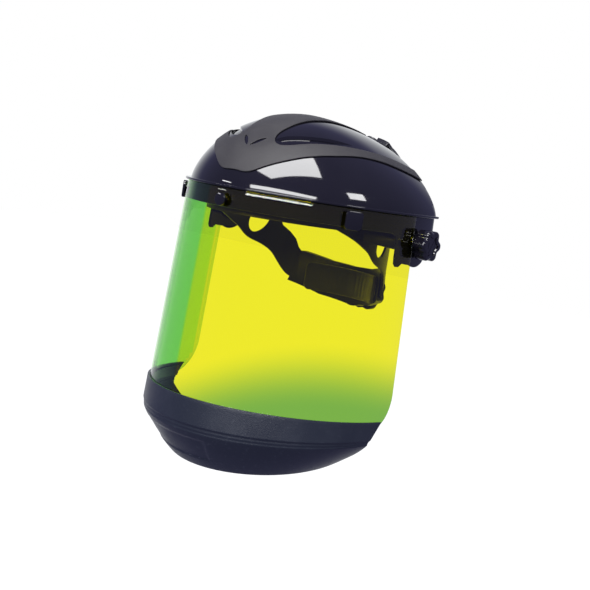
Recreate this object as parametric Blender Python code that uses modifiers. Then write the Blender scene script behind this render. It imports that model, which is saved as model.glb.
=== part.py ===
"""A ratchet-headgear face shield, in metres.

A tinted wraparound window hangs from a crown that tilts up on the headgear, with a
chin guard along the window's lower edge. The origin is the middle of the tilt axis:
-Y is the front, +X the wearer's left and +Z up.
"""

import math

import bmesh
import bpy
from mathutils import Matrix, Vector

# Clearances between pieces that touch, and between pieces that move.
GAP = 0.0003
RUNNING_GAP = 0.0005

# The plan curves are half-ellipses joined at this place: a round front, a longer rear.
PLAN_CENTRE_Y = -0.012
PLAN_REAR = 0.170

# Window: half width and depth at the rim, and how far it widens for each metre down.
WINDOW_HALF_WIDTH = 0.120
WINDOW_FRONT = 0.137
WINDOW_FLARE = 0.043
WINDOW_WALL = 0.0015
WINDOW_HEIGHT = 0.2075
WINDOW_CORNER = 0.035
WINDOW_END_ANGLE = math.radians(90.7)

# Crown: the dome, its level above the tilt axis, and the sloping arch at its rear.
RIM_LEVEL = 0.0265
RIM_THICKNESS = 0.0024
RIM_OVERHANG = 0.003
RIM_REAR_Y = 0.0313
DOME_SETBACK_SIDE = 0.0005
DOME_SETBACK_FRONT = 0.004
DOME_HEIGHT = 0.077
DOME_LEAN = 0.030
DOME_ROUNDNESS = 1.81
DOME_UPRIGHTNESS = 1.54
ARCH_TOP_Y = 0.017
CROWN_WALL = 0.0025
SKIRT_DEPTH = 0.0192
EAR_DEPTH = 0.0505
EAR_FRONT_Y = -0.033
EAR_RADIUS = 0.023
VENT_WIDTH = 0.0084

# Grey cover panel on the dome.
PANEL_THICKNESS = 0.0012
PANEL_SPINE_HALF_WIDTH = 0.0265
DRAWN_HALF_WIDTH = 0.1195
DRAWN_FRONT = 0.133
BAFFLE_WALL = 0.0012
BAFFLE_MARGIN = 0.002

# Chin guard.
GUARD_WALL = 0.0022
GUARD_HOLD = 0.010
GUARD_BAND = 0.018
GUARD_BAND_FRONT = 0.028
GUARD_DEPTH_FRONT = 0.0706
GUARD_DEPTH_REAR = 0.019
GUARD_INSET = 0.035
GUARD_LIP = 0.008
GUARD_END_ANGLE = math.radians(84.5)
GUARD_END_SLANT = math.radians(5.5)
GUARD_COLUMNS = 32

# Headgear: the band's ellipse and its wall.
BAND_HALF_WIDTH = 0.084
BAND_HALF_LENGTH = 0.106
BAND_CENTRE_Y = -0.030
BAND_WALL = 0.0022
BROW_TOP = 0.030
BROW_BOTTOM = 0.002
PAD_THICKNESS = 0.005
TAIL_TOP = -0.047
TAIL_BOTTOM = -0.062

# Top strap: a semi-ellipse that leans back from its roots.
STRAP_ROOT_Y = 0.021
STRAP_ROOT_LEVEL = 0.018
STRAP_RISE = 0.0845
STRAP_FULLNESS = 0.87
STRAP_LEAN = math.radians(30)
STRAP_WIDTH = 0.0125
STRAP_WALL = 0.0018
STRAP_OVERLAP = math.radians(16)
TONGUE_END = math.radians(6)
SLIDER_START = math.radians(9)
SLIDER_END = math.radians(21)
SLIDER_WALL = 0.0014
PEG_RADIUS = 0.002
PEG_HEAD_RADIUS = 0.0038
PEG_HEAD = 0.0016

# Pivots at the temples.
PIVOT_BOLT_RADIUS = 0.003
PIVOT_BOSS_RADIUS = 0.0095
PIVOT_BOSS_PROUD = 0.0015
PIVOT_BOSS_LENGTH = 0.0065
PIVOT_WASHER = 0.0012
BRACKET_RADIUS = 0.013
BRACKET_PLATE = 0.003
KNOB_RADIUS = 0.0155
KNOB_LENGTH = 0.0135
KNOB_LOBES = 6
KNOB_DIP = 0.0032
NUT_RADIUS = 0.0062
NUT_LENGTH = 0.0045
BOLT_END = 0.009
BOLT_HEAD = 0.0035
STRUT_FRONT_Y = -0.040
STRUT_REAR_Y = -0.019
STRUT_LOW = -0.006
STRUT_HIGH = 0.016
STRUT_END_RADIUS = 0.0105

# Press latches that hold the window.
LATCH_ANGLE = math.radians(57)
LATCH_LEVEL = 0.014
LATCH_SIZE = 0.017
LATCH_STEM = 0.009
LATCH_HEAD = 0.0025
LATCH_TRAVEL = 0.003
FRONT_LATCH_RADIUS = 0.006
FRONT_STEM_RADIUS = 0.0035

# Ratchet at the nape.
RATCHET_LEVEL = -0.0655
SLEEVE_WALL = 0.002
SLEEVE_TOP = -0.041
SLEEVE_BOTTOM = -0.081
SLEEVE_MOUTH_TOP_X = 0.052
SLEEVE_MOUTH_BOTTOM_X = 0.0585
SLEEVE_END_TOP = -0.034
SLEEVE_END_BOTTOM = -0.067
PINION_TEETH = 10
TOOTH_MODULE = 0.001
RACK_WALL = 0.0016
RACK_HEIGHT = 0.0045
RACK_ANGLE = math.radians(18)
RACK_ROOM = 0.030
HOUSING_RADIUS = 0.0175
HOUSING_LENGTH = 0.021
RATCHET_KNOB_RADIUS = 0.0215
RATCHET_KNOB_LENGTH = 0.010
RATCHET_KNOB_LOBES = 8
RATCHET_KNOB_DIP = 0.0022
HOUSING_WALL = 0.0025
SPINDLE_RADIUS = 0.0022
SHAFT_RADIUS = 0.0040
DETENT_RADIUS = 0.0125

# Derived places.
WINDOW_TOP = RIM_LEVEL - RIM_THICKNESS / 2 - GAP
SKIRT_GROW = -WINDOW_WALL - GAP
DOME_REAR = PLAN_REAR
DOME_HALF_WIDTH = WINDOW_HALF_WIDTH - DOME_SETBACK_SIDE
DOME_FRONT = WINDOW_FRONT - DOME_SETBACK_FRONT
PIVOT_BOSS_OUTER = WINDOW_HALF_WIDTH + PIVOT_BOSS_PROUD
PIVOT_BOSS_INNER = PIVOT_BOSS_OUTER - PIVOT_BOSS_LENGTH
SLEEVE_OUTER_GROW = GAP + SLEEVE_WALL
SLEEVE_INNER_GROW = -BAND_WALL - GAP - SLEEVE_WALL
NAPE_Y = BAND_CENTRE_Y + BAND_HALF_LENGTH
STRAP_ALONG = (STRAP_ROOT_Y - BAND_CENTRE_Y) / BAND_HALF_LENGTH
STRAP_HALF_SPAN = BAND_HALF_WIDTH * math.sqrt(1 - STRAP_ALONG**2)
NAPE_RADIUS = BAND_HALF_WIDTH**2 / BAND_HALF_LENGTH
NAPE_CENTRE_Y = NAPE_Y - NAPE_RADIUS
PINION_RADIUS = TOOTH_MODULE * PINION_TEETH / 2
RACK_BACK = PINION_RADIUS + TOOTH_MODULE * 1.2 + RACK_HEIGHT * 0.6
WIDE = 0.3

COLOURS = {
    "gloss_black": (0.012, 0.011, 0.020, 0.12),
    "panel_grey": (0.092, 0.088, 0.092, 0.62),
    "window_tint": (0.86, 0.82, 0.02, 0.05),
    "guard_navy": (0.019, 0.023, 0.045, 0.55),
    "band_black": (0.014, 0.014, 0.022, 0.45),
    "pad_fabric": (0.045, 0.045, 0.050, 0.90),
    "steel": (0.55, 0.55, 0.57, 0.30),
}


def clear_scene():
    for obj in list(bpy.data.objects):
        bpy.data.objects.remove(obj, do_unlink=True)


def make_collection(name):
    collection = bpy.data.collections.new(name)
    bpy.context.scene.collection.children.link(collection)
    return collection


def make_material(name):
    red, green, blue, roughness = COLOURS[name]
    material = bpy.data.materials.new(name)
    material.use_nodes = True
    shader = material.node_tree.nodes["Principled BSDF"]
    shader.inputs["Base Color"].default_value = (red, green, blue, 1.0)
    shader.inputs["Roughness"].default_value = roughness
    shader.inputs["Metallic"].default_value = 1.0 if name == "steel" else 0.0
    return material


clear_scene()
SHIELD = make_collection("face_shield")
CUTTERS = make_collection("cutters")
MATERIALS = {name: make_material(name) for name in COLOURS}


# ---- Helpers ----------------------------------------------------------------


def add_object(name, bm, material=None):
    """A mesh object: a piece of the shield if it has a material, or else a cutter."""
    mesh = bpy.data.meshes.new(name)
    bm.to_mesh(mesh)
    bm.free()
    obj = bpy.data.objects.new(name, mesh)
    if material:
        SHIELD.objects.link(obj)
        mesh.materials.append(MATERIALS[material])
        mesh.shade_smooth()
        mesh.set_sharp_from_angle(angle=math.radians(35))
    else:
        CUTTERS.objects.link(obj)
        obj.hide_render = True
        obj.display_type = "WIRE"
    return obj


def boolean(obj, other, operation):
    modifier = obj.modifiers.new(f"{operation.lower()} {other.name}", "BOOLEAN")
    modifier.object = other
    modifier.operation = operation
    return obj


def thicken(obj, thickness, offset=-1.0):
    """offset -1 thickens behind the faces, and +1 in front of them."""
    modifier = obj.modifiers.new("wall", "SOLIDIFY")
    modifier.thickness = thickness
    modifier.offset = offset
    modifier.use_even_offset = True
    return obj


def sheet_mesh(columns, rows, place, inner_point, lift=0.0):
    """A grid with its corners moved to place(column, row), facing away from inner_point."""
    bm = bmesh.new()
    across, down = len(columns) - 1, len(rows) - 1
    bmesh.ops.create_grid(bm, x_segments=across, y_segments=down, size=0.5)
    for vert in bm.verts:
        column = columns[round((vert.co.x + 0.5) * across)]
        row = rows[round((vert.co.y + 0.5) * down)]
        vert.co = place(column, row)
    bmesh.ops.remove_doubles(bm, verts=bm.verts, dist=1e-5)
    bm.normal_update()
    centre = Vector(inner_point)
    outward = sum(face.normal.dot(face.calc_center_median() - centre) for face in bm.faces)
    if outward < 0:
        bmesh.ops.reverse_faces(bm, faces=bm.faces)
    bm.normal_update()
    for vert in bm.verts:
        vert.co += vert.normal * lift
    return bm


def prism(name, outline, low, high, axis, material=None):
    """A flat outline pulled out from low to high along axis.

    The outline's two numbers run along the other two axes, in X, Y, Z order.
    """
    first, second = [i for i in range(3) if i != axis]
    bm = bmesh.new()
    verts = []
    for a, b in outline:
        place = [0.0, 0.0, 0.0]
        place[first], place[second], place[axis] = a, b, low
        verts.append(bm.verts.new(place))
    face = bm.faces.new(verts)
    pulled = bmesh.ops.extrude_face_region(bm, geom=[face])["geom"]
    shift = Vector([0.0, 0.0, 0.0])
    shift[axis] = high - low
    moved = [item for item in pulled if isinstance(item, bmesh.types.BMVert)]
    bmesh.ops.translate(bm, verts=moved, vec=shift)
    bmesh.ops.recalc_face_normals(bm, faces=bm.faces)
    return add_object(name, bm, material)


def cylinder_mesh(radius, low, high, axis, centre=(0.0, 0.0), segments=32):
    """A cylinder from low to high along axis. centre holds its two other coordinates."""
    bm = bmesh.new()
    bmesh.ops.create_cone(
        bm,
        cap_ends=True,
        segments=segments,
        radius1=radius,
        radius2=radius,
        depth=high - low,
    )
    turn = {0: Matrix.Rotation(math.pi / 2, 4, "Y"), 1: Matrix.Rotation(math.pi / 2, 4, "X")}
    bmesh.ops.transform(bm, matrix=turn.get(axis, Matrix()), verts=bm.verts)
    first, second = [i for i in range(3) if i != axis]
    middle = Vector([0.0, 0.0, 0.0])
    middle[first], middle[second], middle[axis] = centre[0], centre[1], (low + high) / 2
    bmesh.ops.translate(bm, verts=bm.verts, vec=middle)
    return bm


def box_mesh(size, centre=(0.0, 0.0, 0.0)):
    bm = bmesh.new()
    bmesh.ops.create_cube(bm, size=1.0)
    bmesh.ops.scale(bm, vec=size, verts=bm.verts)
    bmesh.ops.translate(bm, verts=bm.verts, vec=centre)
    return bm


def steps(low, high, count):
    return [low + (high - low) * i / count for i in range(count + 1)]


def put_origin(obj, point):
    """Moves the object's origin to the point and leaves its shape where it is."""
    obj.data.transform(Matrix.Translation(-Vector(point)))
    obj.location = point
    return obj


def ride_on(parent, *objects):
    for obj in objects:
        obj.parent = parent
        obj.matrix_parent_inverse = parent.matrix_world.inverted()


def empty(name, point, parent=None):
    obj = bpy.data.objects.new(name, None)
    obj.empty_display_size = 0.02
    obj.location = point
    SHIELD.objects.link(obj)
    bpy.context.view_layer.update()
    if parent:
        ride_on(parent, obj)
    return obj


# ---- Curves that the pieces share ---------------------------------------------


def plan_point(angle, half_width, front, level, rear=PLAN_REAR):
    """A point of a plan curve. The angle runs round from the front."""
    depth = front if math.cos(angle) > 0 else rear
    x = half_width * math.sin(angle)
    return Vector((x, PLAN_CENTRE_Y - depth * math.cos(angle), level))


def plan_angle(y):
    """The angle at which a plan curve's rear part reaches y."""
    return math.acos(-(y - PLAN_CENTRE_Y) / PLAN_REAR)


def window_point(angle, level, grow=0.0):
    """A point of the window's outer face, or of a surface that far outside it."""
    out = WINDOW_FLARE * (RIM_LEVEL - level) + grow
    return plan_point(angle, WINDOW_HALF_WIDTH + out, WINDOW_FRONT + out, level)


def window_normal(angle):
    x = math.sin(angle) / WINDOW_HALF_WIDTH
    y = -math.cos(angle) / WINDOW_FRONT
    return Vector((x, y, 0.0)).normalized()


def dome_point(angle, rise):
    """A point of the dome's outer face: rise is 0 at the rim and 1 at the top."""
    turn = rise * math.pi / 2
    reach = max(math.cos(turn), 0.0) ** (2 / DOME_ROUNDNESS)
    height = math.sin(turn) ** (2 / DOME_UPRIGHTNESS)
    level = RIM_LEVEL + DOME_HEIGHT * height
    point = plan_point(angle, DOME_HALF_WIDTH * reach, DOME_FRONT * reach, level, DOME_REAR * reach)
    point.y -= DOME_LEAN * height**1.5
    return point


def band_point(angle, level, grow=0.0):
    """A point of the headband's outer ellipse, or of one that far outside it."""
    x = (BAND_HALF_WIDTH + grow) * math.sin(angle)
    y = BAND_CENTRE_Y - (BAND_HALF_LENGTH + grow) * math.cos(angle)
    return Vector((x, y, level))


def strap_point(angle, across, lift=0.0):
    """A point of the top strap. The angle runs from the right root to the left one."""
    out = abs(math.sin(angle)) ** STRAP_FULLNESS
    x = (STRAP_HALF_SPAN + lift) * math.copysign(out, angle)
    up = (STRAP_RISE + lift) * max(math.cos(angle), 0.0) ** STRAP_FULLNESS
    y = STRAP_ROOT_Y + up * math.sin(STRAP_LEAN) + across * math.cos(STRAP_LEAN)
    z = STRAP_ROOT_LEVEL + up * math.cos(STRAP_LEAN) - across * math.sin(STRAP_LEAN)
    return Vector((x, y, z))


def mirrored(half):
    """A closed outline from its half at +X, listed from the front to the rear."""
    return half + [(-x, y) for x, y in reversed(half) if x > 1e-6]


# ---- Crown ------------------------------------------------------------------


def dome_mesh(lift=0.0, columns=44, rows=9):
    """The dome's outer face, cut off at the rear arch."""
    angles = steps(-math.pi, math.pi, columns)
    bm = sheet_mesh(angles, steps(0.0, 1.0, rows), dome_point, (0, -0.03, 0.03), lift)
    slope = Vector((0.0, ARCH_TOP_Y - RIM_REAR_Y, DOME_HEIGHT))
    bmesh.ops.bisect_plane(
        bm,
        geom=bm.verts[:] + bm.edges[:] + bm.faces[:],
        plane_co=(0.0, RIM_REAR_Y, RIM_LEVEL),
        plane_no=slope.cross(Vector((1.0, 0.0, 0.0))),
        clear_outer=True,
    )
    return bm


def fitted(points):
    """An outline drawn for a dome of the drawn size, stretched to the dome's own size."""
    across = DOME_HALF_WIDTH / DRAWN_HALF_WIDTH
    along = DOME_FRONT / DRAWN_FRONT
    return [(x * across, PLAN_CENTRE_Y + (y - PLAN_CENTRE_Y) * along) for x, y in points]


def vent_outline(side, grow=0.0):
    """A side vent seen from above: a long drop that follows the panel's wing."""
    spine = [
        (0.0215, -0.1155, 0.1),
        (0.029, -0.1105, 0.8),
        (0.038, -0.1035, 1.0),
        (0.049, -0.0915, 0.9),
        (0.059, -0.0765, 0.65),
        (0.067, -0.0615, 0.1),
    ]
    front, rear = [], []
    for x, y, share in spine:
        half = VENT_WIDTH / 2 * share + grow
        front.append((side * (x + half * 0.8), y - half * 0.6))
        rear.append((side * (x - half * 0.8), y + half * 0.6))
    return fitted(front + rear[::-1])


def ear_outline():
    """The skirt and the ears seen from the side, as (y, z)."""
    skirt = RIM_LEVEL - SKIRT_DEPTH
    low = RIM_LEVEL - EAR_DEPTH
    round_part = [
        (EAR_RADIUS * math.sin(a), -EAR_RADIUS * math.cos(a))
        for a in [math.radians(d) for d in (-40, -20, 0, 20, 40, 60, 80)]
    ]
    return [
        (-WIDE, RIM_LEVEL),
        (-WIDE, skirt),
        (EAR_FRONT_Y - 0.006, skirt),
        (EAR_FRONT_Y, skirt - 0.004),
        (EAR_FRONT_Y, low),
        *round_part,
        (RIM_REAR_Y + 0.001, 0.008),
        (RIM_REAR_Y + 0.001, RIM_LEVEL),
    ]


def make_crown():
    crown = thicken(add_object("crown_shell", dome_mesh(), "gloss_black"), CROWN_WALL)
    inside = (0, -0.03, 0)
    end = plan_angle(RIM_REAR_Y)

    def rim_place(angle, grow):
        half = WINDOW_HALF_WIDTH + grow
        return plan_point(angle, half, WINDOW_FRONT + grow, RIM_LEVEL)

    grows = [SKIRT_GROW - CROWN_WALL, RIM_OVERHANG]
    rim = add_object("rim", sheet_mesh(steps(-end, end, 44), grows, rim_place, (0, 0, -1)))
    thicken(rim, RIM_THICKNESS, 0.0)

    def skirt_place(angle, level):
        return window_point(angle, level, SKIRT_GROW)

    levels = [RIM_LEVEL - EAR_DEPTH - 0.002, 0.0, RIM_LEVEL]
    skirt = add_object("skirt", sheet_mesh(steps(-end, end, 44), levels, skirt_place, inside))
    thicken(skirt, CROWN_WALL)
    boolean(skirt, prism("ear_shape", ear_outline(), -WIDE, WIDE, 0), "INTERSECT")
    boolean(crown, rim, "UNION")
    boolean(crown, skirt, "UNION")
    for side, name in ((1, "left"), (-1, "right")):
        ends = sorted((side * PIVOT_BOSS_INNER, side * PIVOT_BOSS_OUTER))
        boss = add_object(f"pivot_boss_{name}", cylinder_mesh(PIVOT_BOSS_RADIUS, *ends, 0))
        boolean(crown, boss, "UNION")
        vent = prism(f"vent_{name}", vent_outline(side), RIM_LEVEL + 0.02, 0.2, 2)
        boolean(crown, vent, "DIFFERENCE")
    bore = cylinder_mesh(PIVOT_BOLT_RADIUS + GAP, -WIDE, WIDE, 0, segments=30)
    boolean(crown, add_object("pivot_bore", bore), "DIFFERENCE")
    return crown


# Two lens-shaped slits in the panel's lobe, from above, at +X.
SLIT = [
    (0.0015, -0.1268),
    (0.0055, -0.1252),
    (0.0098, -0.1220),
    (0.0130, -0.1175),
    (0.0085, -0.1196),
    (0.0045, -0.1230),
]


def panel_outline():
    """The panel seen from above: a front lobe, two wings and a spine."""
    rear = 0.05
    wing_outer = [
        (0.0, -0.1413),
        (0.012, -0.1408),
        (0.022, -0.1375),
        (0.034, -0.1305),
        (0.045, -0.1215),
        (0.055, -0.110),
        (0.064, -0.098),
        (0.076, -0.078),
        (0.084, -0.052),
        (0.092, -0.025),
        (0.096, rear),
    ]
    wing_inner = [
        (0.0865, rear),
        (0.0835, -0.010),
        (0.0785, -0.040),
        (0.0715, -0.0625),
        (0.0615, -0.0825),
        (0.051, -0.0975),
        (0.042, -0.1085),
        (0.0345, -0.115),
        (0.0275, -0.118),
        (0.0215, -0.116),
    ]
    spine = [
        (PANEL_SPINE_HALF_WIDTH - 0.0075, -0.1085),
        (PANEL_SPINE_HALF_WIDTH - 0.006, -0.095),
        (PANEL_SPINE_HALF_WIDTH - 0.0035, -0.072),
        (PANEL_SPINE_HALF_WIDTH - 0.0005, -0.045),
        (PANEL_SPINE_HALF_WIDTH, rear),
    ]
    return fitted(mirrored(wing_outer + wing_inner + spine))


def make_panel():
    bm = dome_mesh(lift=GAP)
    panel = thicken(add_object("crown_panel", bm, "panel_grey"), PANEL_THICKNESS, 1.0)
    shape = prism("panel_shape", panel_outline(), RIM_LEVEL + 0.008, 0.2, 2)
    boolean(panel, shape, "INTERSECT")
    for side, name in ((1, "left"), (-1, "right")):
        slit = fitted([(side * x, y) for x, y in SLIT])
        boolean(panel, prism(f"slit_{name}", slit, RIM_LEVEL, WIDE, 2), "DIFFERENCE")
    return panel


def make_baffle(side, name):
    """A thin tray inside the dome that backs a vent."""
    bm = dome_mesh(lift=-CROWN_WALL - GAP)
    baffle = thicken(add_object(f"vent_baffle_{name}", bm, "gloss_black"), BAFFLE_WALL)
    outline = vent_outline(side, BAFFLE_MARGIN)
    boolean(baffle, prism(f"baffle_shape_{name}", outline, RIM_LEVEL, WIDE, 2), "INTERSECT")
    return baffle


# ---- Window, latches and chin guard --------------------------------------------


def window_bottom(angle):
    """The level of the window's lower edge, rounded up at its two rear corners."""
    bottom = RIM_LEVEL - WINDOW_HEIGHT
    left = (WINDOW_END_ANGLE - abs(angle)) * (WINDOW_FRONT + WINDOW_FLARE * WINDOW_HEIGHT)
    short = max(WINDOW_CORNER - left, 0.0)
    return bottom + WINDOW_CORNER - math.sqrt(WINDOW_CORNER**2 - short**2)


def latch_cutter(name, angle, half, round_hole=False):
    """A hole along the latch's own direction, through the window and the skirt."""
    if round_hole:
        bm = cylinder_mesh(half, -0.012, 0.012, 2, segments=24)
    else:
        bm = box_mesh((2 * half, 2 * half, 0.024))
    cutter = add_object(name, bm)
    place_latch(cutter, angle)
    return cutter


def place_latch(obj, angle):
    """Turns the object's own Z outwards, with its Y up, at a latch's place."""
    outward = window_normal(angle)
    up = Vector((0.0, 0.0, 1.0))
    turn = Matrix((up.cross(outward), up, outward)).transposed().to_4x4()
    obj.matrix_world = Matrix.Translation(window_point(angle, LATCH_LEVEL)) @ turn


LATCHES = (
    ("left", LATCH_ANGLE, LATCH_STEM / 2 + RUNNING_GAP, False),
    ("right", -LATCH_ANGLE, LATCH_STEM / 2 + RUNNING_GAP, False),
    ("front", 0.0, FRONT_STEM_RADIUS + RUNNING_GAP, True),
)


def make_window():
    corner = math.radians(18)
    angles = steps(-WINDOW_END_ANGLE, -WINDOW_END_ANGLE + corner, 8)
    angles += steps(-WINDOW_END_ANGLE + corner, WINDOW_END_ANGLE - corner, 36)[1:-1]
    angles += steps(WINDOW_END_ANGLE - corner, WINDOW_END_ANGLE, 8)

    def place(angle, share):
        bottom = window_bottom(angle)
        return window_point(angle, bottom + (WINDOW_TOP - bottom) * share)

    bm = sheet_mesh(angles, steps(0.0, 1.0, 4), place, (0, -0.03, 0))
    return thicken(add_object("visor_window", bm, "window_tint"), WINDOW_WALL)


def make_latch(name, angle, round_latch):
    """A press latch: a head outside the window, a stem and a catch behind the skirt."""
    depth = WINDOW_WALL + GAP + CROWN_WALL
    head_low = LATCH_TRAVEL + RUNNING_GAP
    head_high = head_low + LATCH_HEAD
    catch_high = -depth - 0.0008
    catch_low = catch_high - 0.0018
    if round_latch:
        head = cylinder_mesh(FRONT_LATCH_RADIUS, head_low, head_high, 2, segments=28)
        stem_ends = catch_low + 0.0004, head_low + 0.0004
        stem = cylinder_mesh(FRONT_STEM_RADIUS, *stem_ends, 2, segments=20)
        catch = cylinder_mesh(FRONT_LATCH_RADIUS, catch_low, catch_high, 2, segments=28)
    else:
        head = box_mesh((LATCH_SIZE, LATCH_SIZE, LATCH_HEAD), (0, 0, (head_low + head_high) / 2))
        length = head_low + 0.0008 - catch_low
        middle = (head_low + 0.0004 + catch_low + 0.0004) / 2
        stem = box_mesh((LATCH_STEM, LATCH_STEM, length), (0, 0, middle))
        catch_size = (LATCH_STEM + 0.004, LATCH_STEM + 0.002, 0.0018)
        catch = box_mesh(catch_size, (0, 0, (catch_low + catch_high) / 2))
        corners = [e for e in head.edges if abs(e.verts[0].co.z - e.verts[1].co.z) > 0.001]
        bmesh.ops.bevel(
            head, geom=corners, offset=0.003, segments=3, affect="EDGES", profile=0.5
        )
    latch = add_object(f"latch_{name}", head, "gloss_black")
    place_latch(latch, angle)
    for piece_name, bm in (("stem", stem), ("catch", catch)):
        piece = add_object(f"latch_{piece_name}_{name}", bm)
        place_latch(piece, angle)
        boolean(latch, piece, "UNION")
    return latch


def make_latches(crown, window):
    latches = []
    for name, angle, half, is_round in LATCHES:
        hole = latch_cutter(f"latch_hole_{name}", angle, half, is_round)
        boolean(crown, hole, "DIFFERENCE")
        boolean(window, hole, "DIFFERENCE")
        latches.append(make_latch(name, angle, is_round))
    return latches


def guard_band(angle):
    """How deep the guard's upper band is at this angle."""
    return GUARD_BAND + (GUARD_BAND_FRONT - GUARD_BAND) * max(math.cos(angle), 0.0)


def make_guard():
    """The chin guard: an upper band, a bowl that draws in below it, and an inner lip."""
    outside = GAP + GUARD_WALL
    top = RIM_LEVEL - WINDOW_HEIGHT + GUARD_HOLD
    reach = GUARD_DEPTH_FRONT - GUARD_DEPTH_REAR

    def place(turn, row):
        angle = turn * (1 - GUARD_END_SLANT / GUARD_END_ANGLE * min(row, 1.0))
        band = guard_band(angle)
        if row <= 1:
            return window_point(angle, top - band * row, outside)
        share = row - 1
        depth = GUARD_DEPTH_REAR + reach * max(math.cos(angle), 0.0) ** 0.4
        level = top - band - (max(depth - band, 0.002)) * share
        drawn_in = GUARD_INSET * (1 - (1 - share**1.2) ** (1 / 1.2))
        wall = window_point(angle, top - band, outside - drawn_in)
        return Vector((wall.x, wall.y, level))

    angles = steps(-GUARD_END_ANGLE, GUARD_END_ANGLE, GUARD_COLUMNS)
    rows = [*steps(0.0, 1.0, 5), 1.25, 1.5, 1.75, 1.93]
    inside = (0, -0.03, -0.19)
    guard = add_object("chin_guard", sheet_mesh(angles, rows, place, inside), "guard_navy")
    thicken(guard, GUARD_WALL)
    lip_grow = -WINDOW_WALL - 2 * GAP
    edge = RIM_LEVEL - WINDOW_HEIGHT - GAP

    def lip_place(angle, level):
        return window_point(angle, level, lip_grow)

    def shelf_place(angle, grow):
        return window_point(angle, edge - GUARD_WALL / 2, grow)

    short = GUARD_END_ANGLE - GUARD_END_SLANT
    ends = steps(-short, short, GUARD_COLUMNS)
    levels = [edge - GUARD_WALL / 2, edge + GUARD_LIP]
    lip = add_object("guard_lip", sheet_mesh(ends, levels, lip_place, inside))
    boolean(guard, thicken(lip, GUARD_WALL), "UNION")
    grows = [lip_grow - GUARD_WALL / 2, outside - GUARD_WALL / 2]
    shelf = add_object("guard_shelf", sheet_mesh(ends, grows, shelf_place, (0, 0, -1)))
    boolean(guard, thicken(shelf, GUARD_WALL, 0.0), "UNION")
    return guard


# ---- Headgear -----------------------------------------------------------------


def band_outline():
    """The headband seen from the side, as (y, z): brow, arm, neck and tail."""
    lower = [
        (-WIDE, BROW_BOTTOM),
        (-0.073, BROW_BOTTOM),
        (-0.050, -0.006),
        (-0.036, -0.012),
        (-0.025, -0.017),
        (-0.015, -0.024),
        (-0.007, -0.028),
        (0.0065, -0.032),
        (0.016, -0.036),
        (0.023, -0.041),
        (0.0295, -0.049),
        (0.035, -0.056),
        (0.040, -0.061),
        (0.046, -0.065),
        (0.060, -0.065),
    ]
    half = STRAP_WIDTH / 2
    run, rise = half * math.cos(STRAP_LEAN), half * math.sin(STRAP_LEAN)
    neck_top = [
        (STRAP_ROOT_Y + run, STRAP_ROOT_LEVEL - rise - GAP),
        (STRAP_ROOT_Y - run, STRAP_ROOT_LEVEL + rise - GAP),
    ]
    upper = [
        (0.060, -0.036),
        (0.052, -0.036),
        (0.0475, -0.031),
        (0.044, -0.0225),
        (0.038, -0.016),
        (0.0295, -0.010),
        (0.0265, -0.004),
        *neck_top,
        (0.006, 0.0205),
        (-0.010, 0.023),
        (-0.030, 0.027),
        (-0.060, BROW_TOP),
        (-WIDE, BROW_TOP),
    ]
    return lower + upper


def mouth_x(level):
    """How far out the sleeve's slanted mouth is at this level."""
    share = (SLEEVE_END_TOP - level) / (SLEEVE_END_TOP - SLEEVE_END_BOTTOM)
    return SLEEVE_MOUTH_TOP_X + (SLEEVE_MOUTH_BOTTOM_X - SLEEVE_MOUTH_TOP_X) * share


def drop_outline():
    """The opening in each arm: an ellipse that leans back."""
    lean = math.radians(50)
    points = []
    for turn in steps(0.0, 2 * math.pi, 24)[:-1]:
        along, across = 0.016 * math.cos(turn), 0.0115 * math.sin(turn)
        y = 0.0015 + along * math.cos(lean) - across * math.sin(lean)
        z = -0.0065 + along * math.sin(lean) + across * math.cos(lean)
        points.append((y, z))
    return points


def make_headband():
    end = math.acos(-(0.060 - BAND_CENTRE_Y) / BAND_HALF_LENGTH)
    bm = sheet_mesh(steps(-end, end, 72), [-0.075, 0.04], band_point, (0, BAND_CENTRE_Y, 0))
    band = thicken(add_object("headband", bm, "band_black"), BAND_WALL)
    boolean(band, prism("band_shape", band_outline(), -WIDE, WIDE, 0), "INTERSECT")
    boolean(band, prism("drop_shape", drop_outline(), -WIDE, WIDE, 0), "DIFFERENCE")
    for name, low, high in (("above", TAIL_TOP, 0.0), ("below", -0.1, TAIL_BOTTOM)):
        right, left = mouth_x(high) + RUNNING_GAP, mouth_x(low) + RUNNING_GAP
        notch = [(-left, low), (left, low), (right, high), (-right, high)]
        boolean(band, prism(f"tail_notch_{name}", notch, 0.0, WIDE, 1), "DIFFERENCE")
    return band


def make_pad(name, end, low, high, grow, middle=0.0, count=28):
    """A plain curved pad inside the band, from low to high, either side of an angle."""

    def place(angle, level):
        return band_point(angle, level, grow)

    angles = steps(middle - end, middle + end, count)
    bm = sheet_mesh(angles, [low, high], place, (0, BAND_CENTRE_Y, (low + high) / 2))
    return thicken(add_object(name, bm, "pad_fabric"), PAD_THICKNESS)


def make_strap(name, start, end, lift):
    half = STRAP_WIDTH / 2

    def place(angle, across):
        return strap_point(angle, across, lift)

    bm = sheet_mesh(steps(start, end, 16), [-half, half], place, (0, STRAP_ROOT_Y, 0))
    return thicken(add_object(name, bm, "band_black"), STRAP_WALL)


def strap_axis_cylinder(radius, low, high):
    """A cylinder through the top of the strap, square to it, from low to high."""
    bm = cylinder_mesh(radius, low, high, 2, segments=24)
    top = strap_point(0.0, 0.0)
    turn = Matrix.Rotation(-STRAP_LEAN, 4, "X")
    bmesh.ops.transform(bm, matrix=Matrix.Translation(top) @ turn, verts=bm.verts)
    return bm


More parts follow.
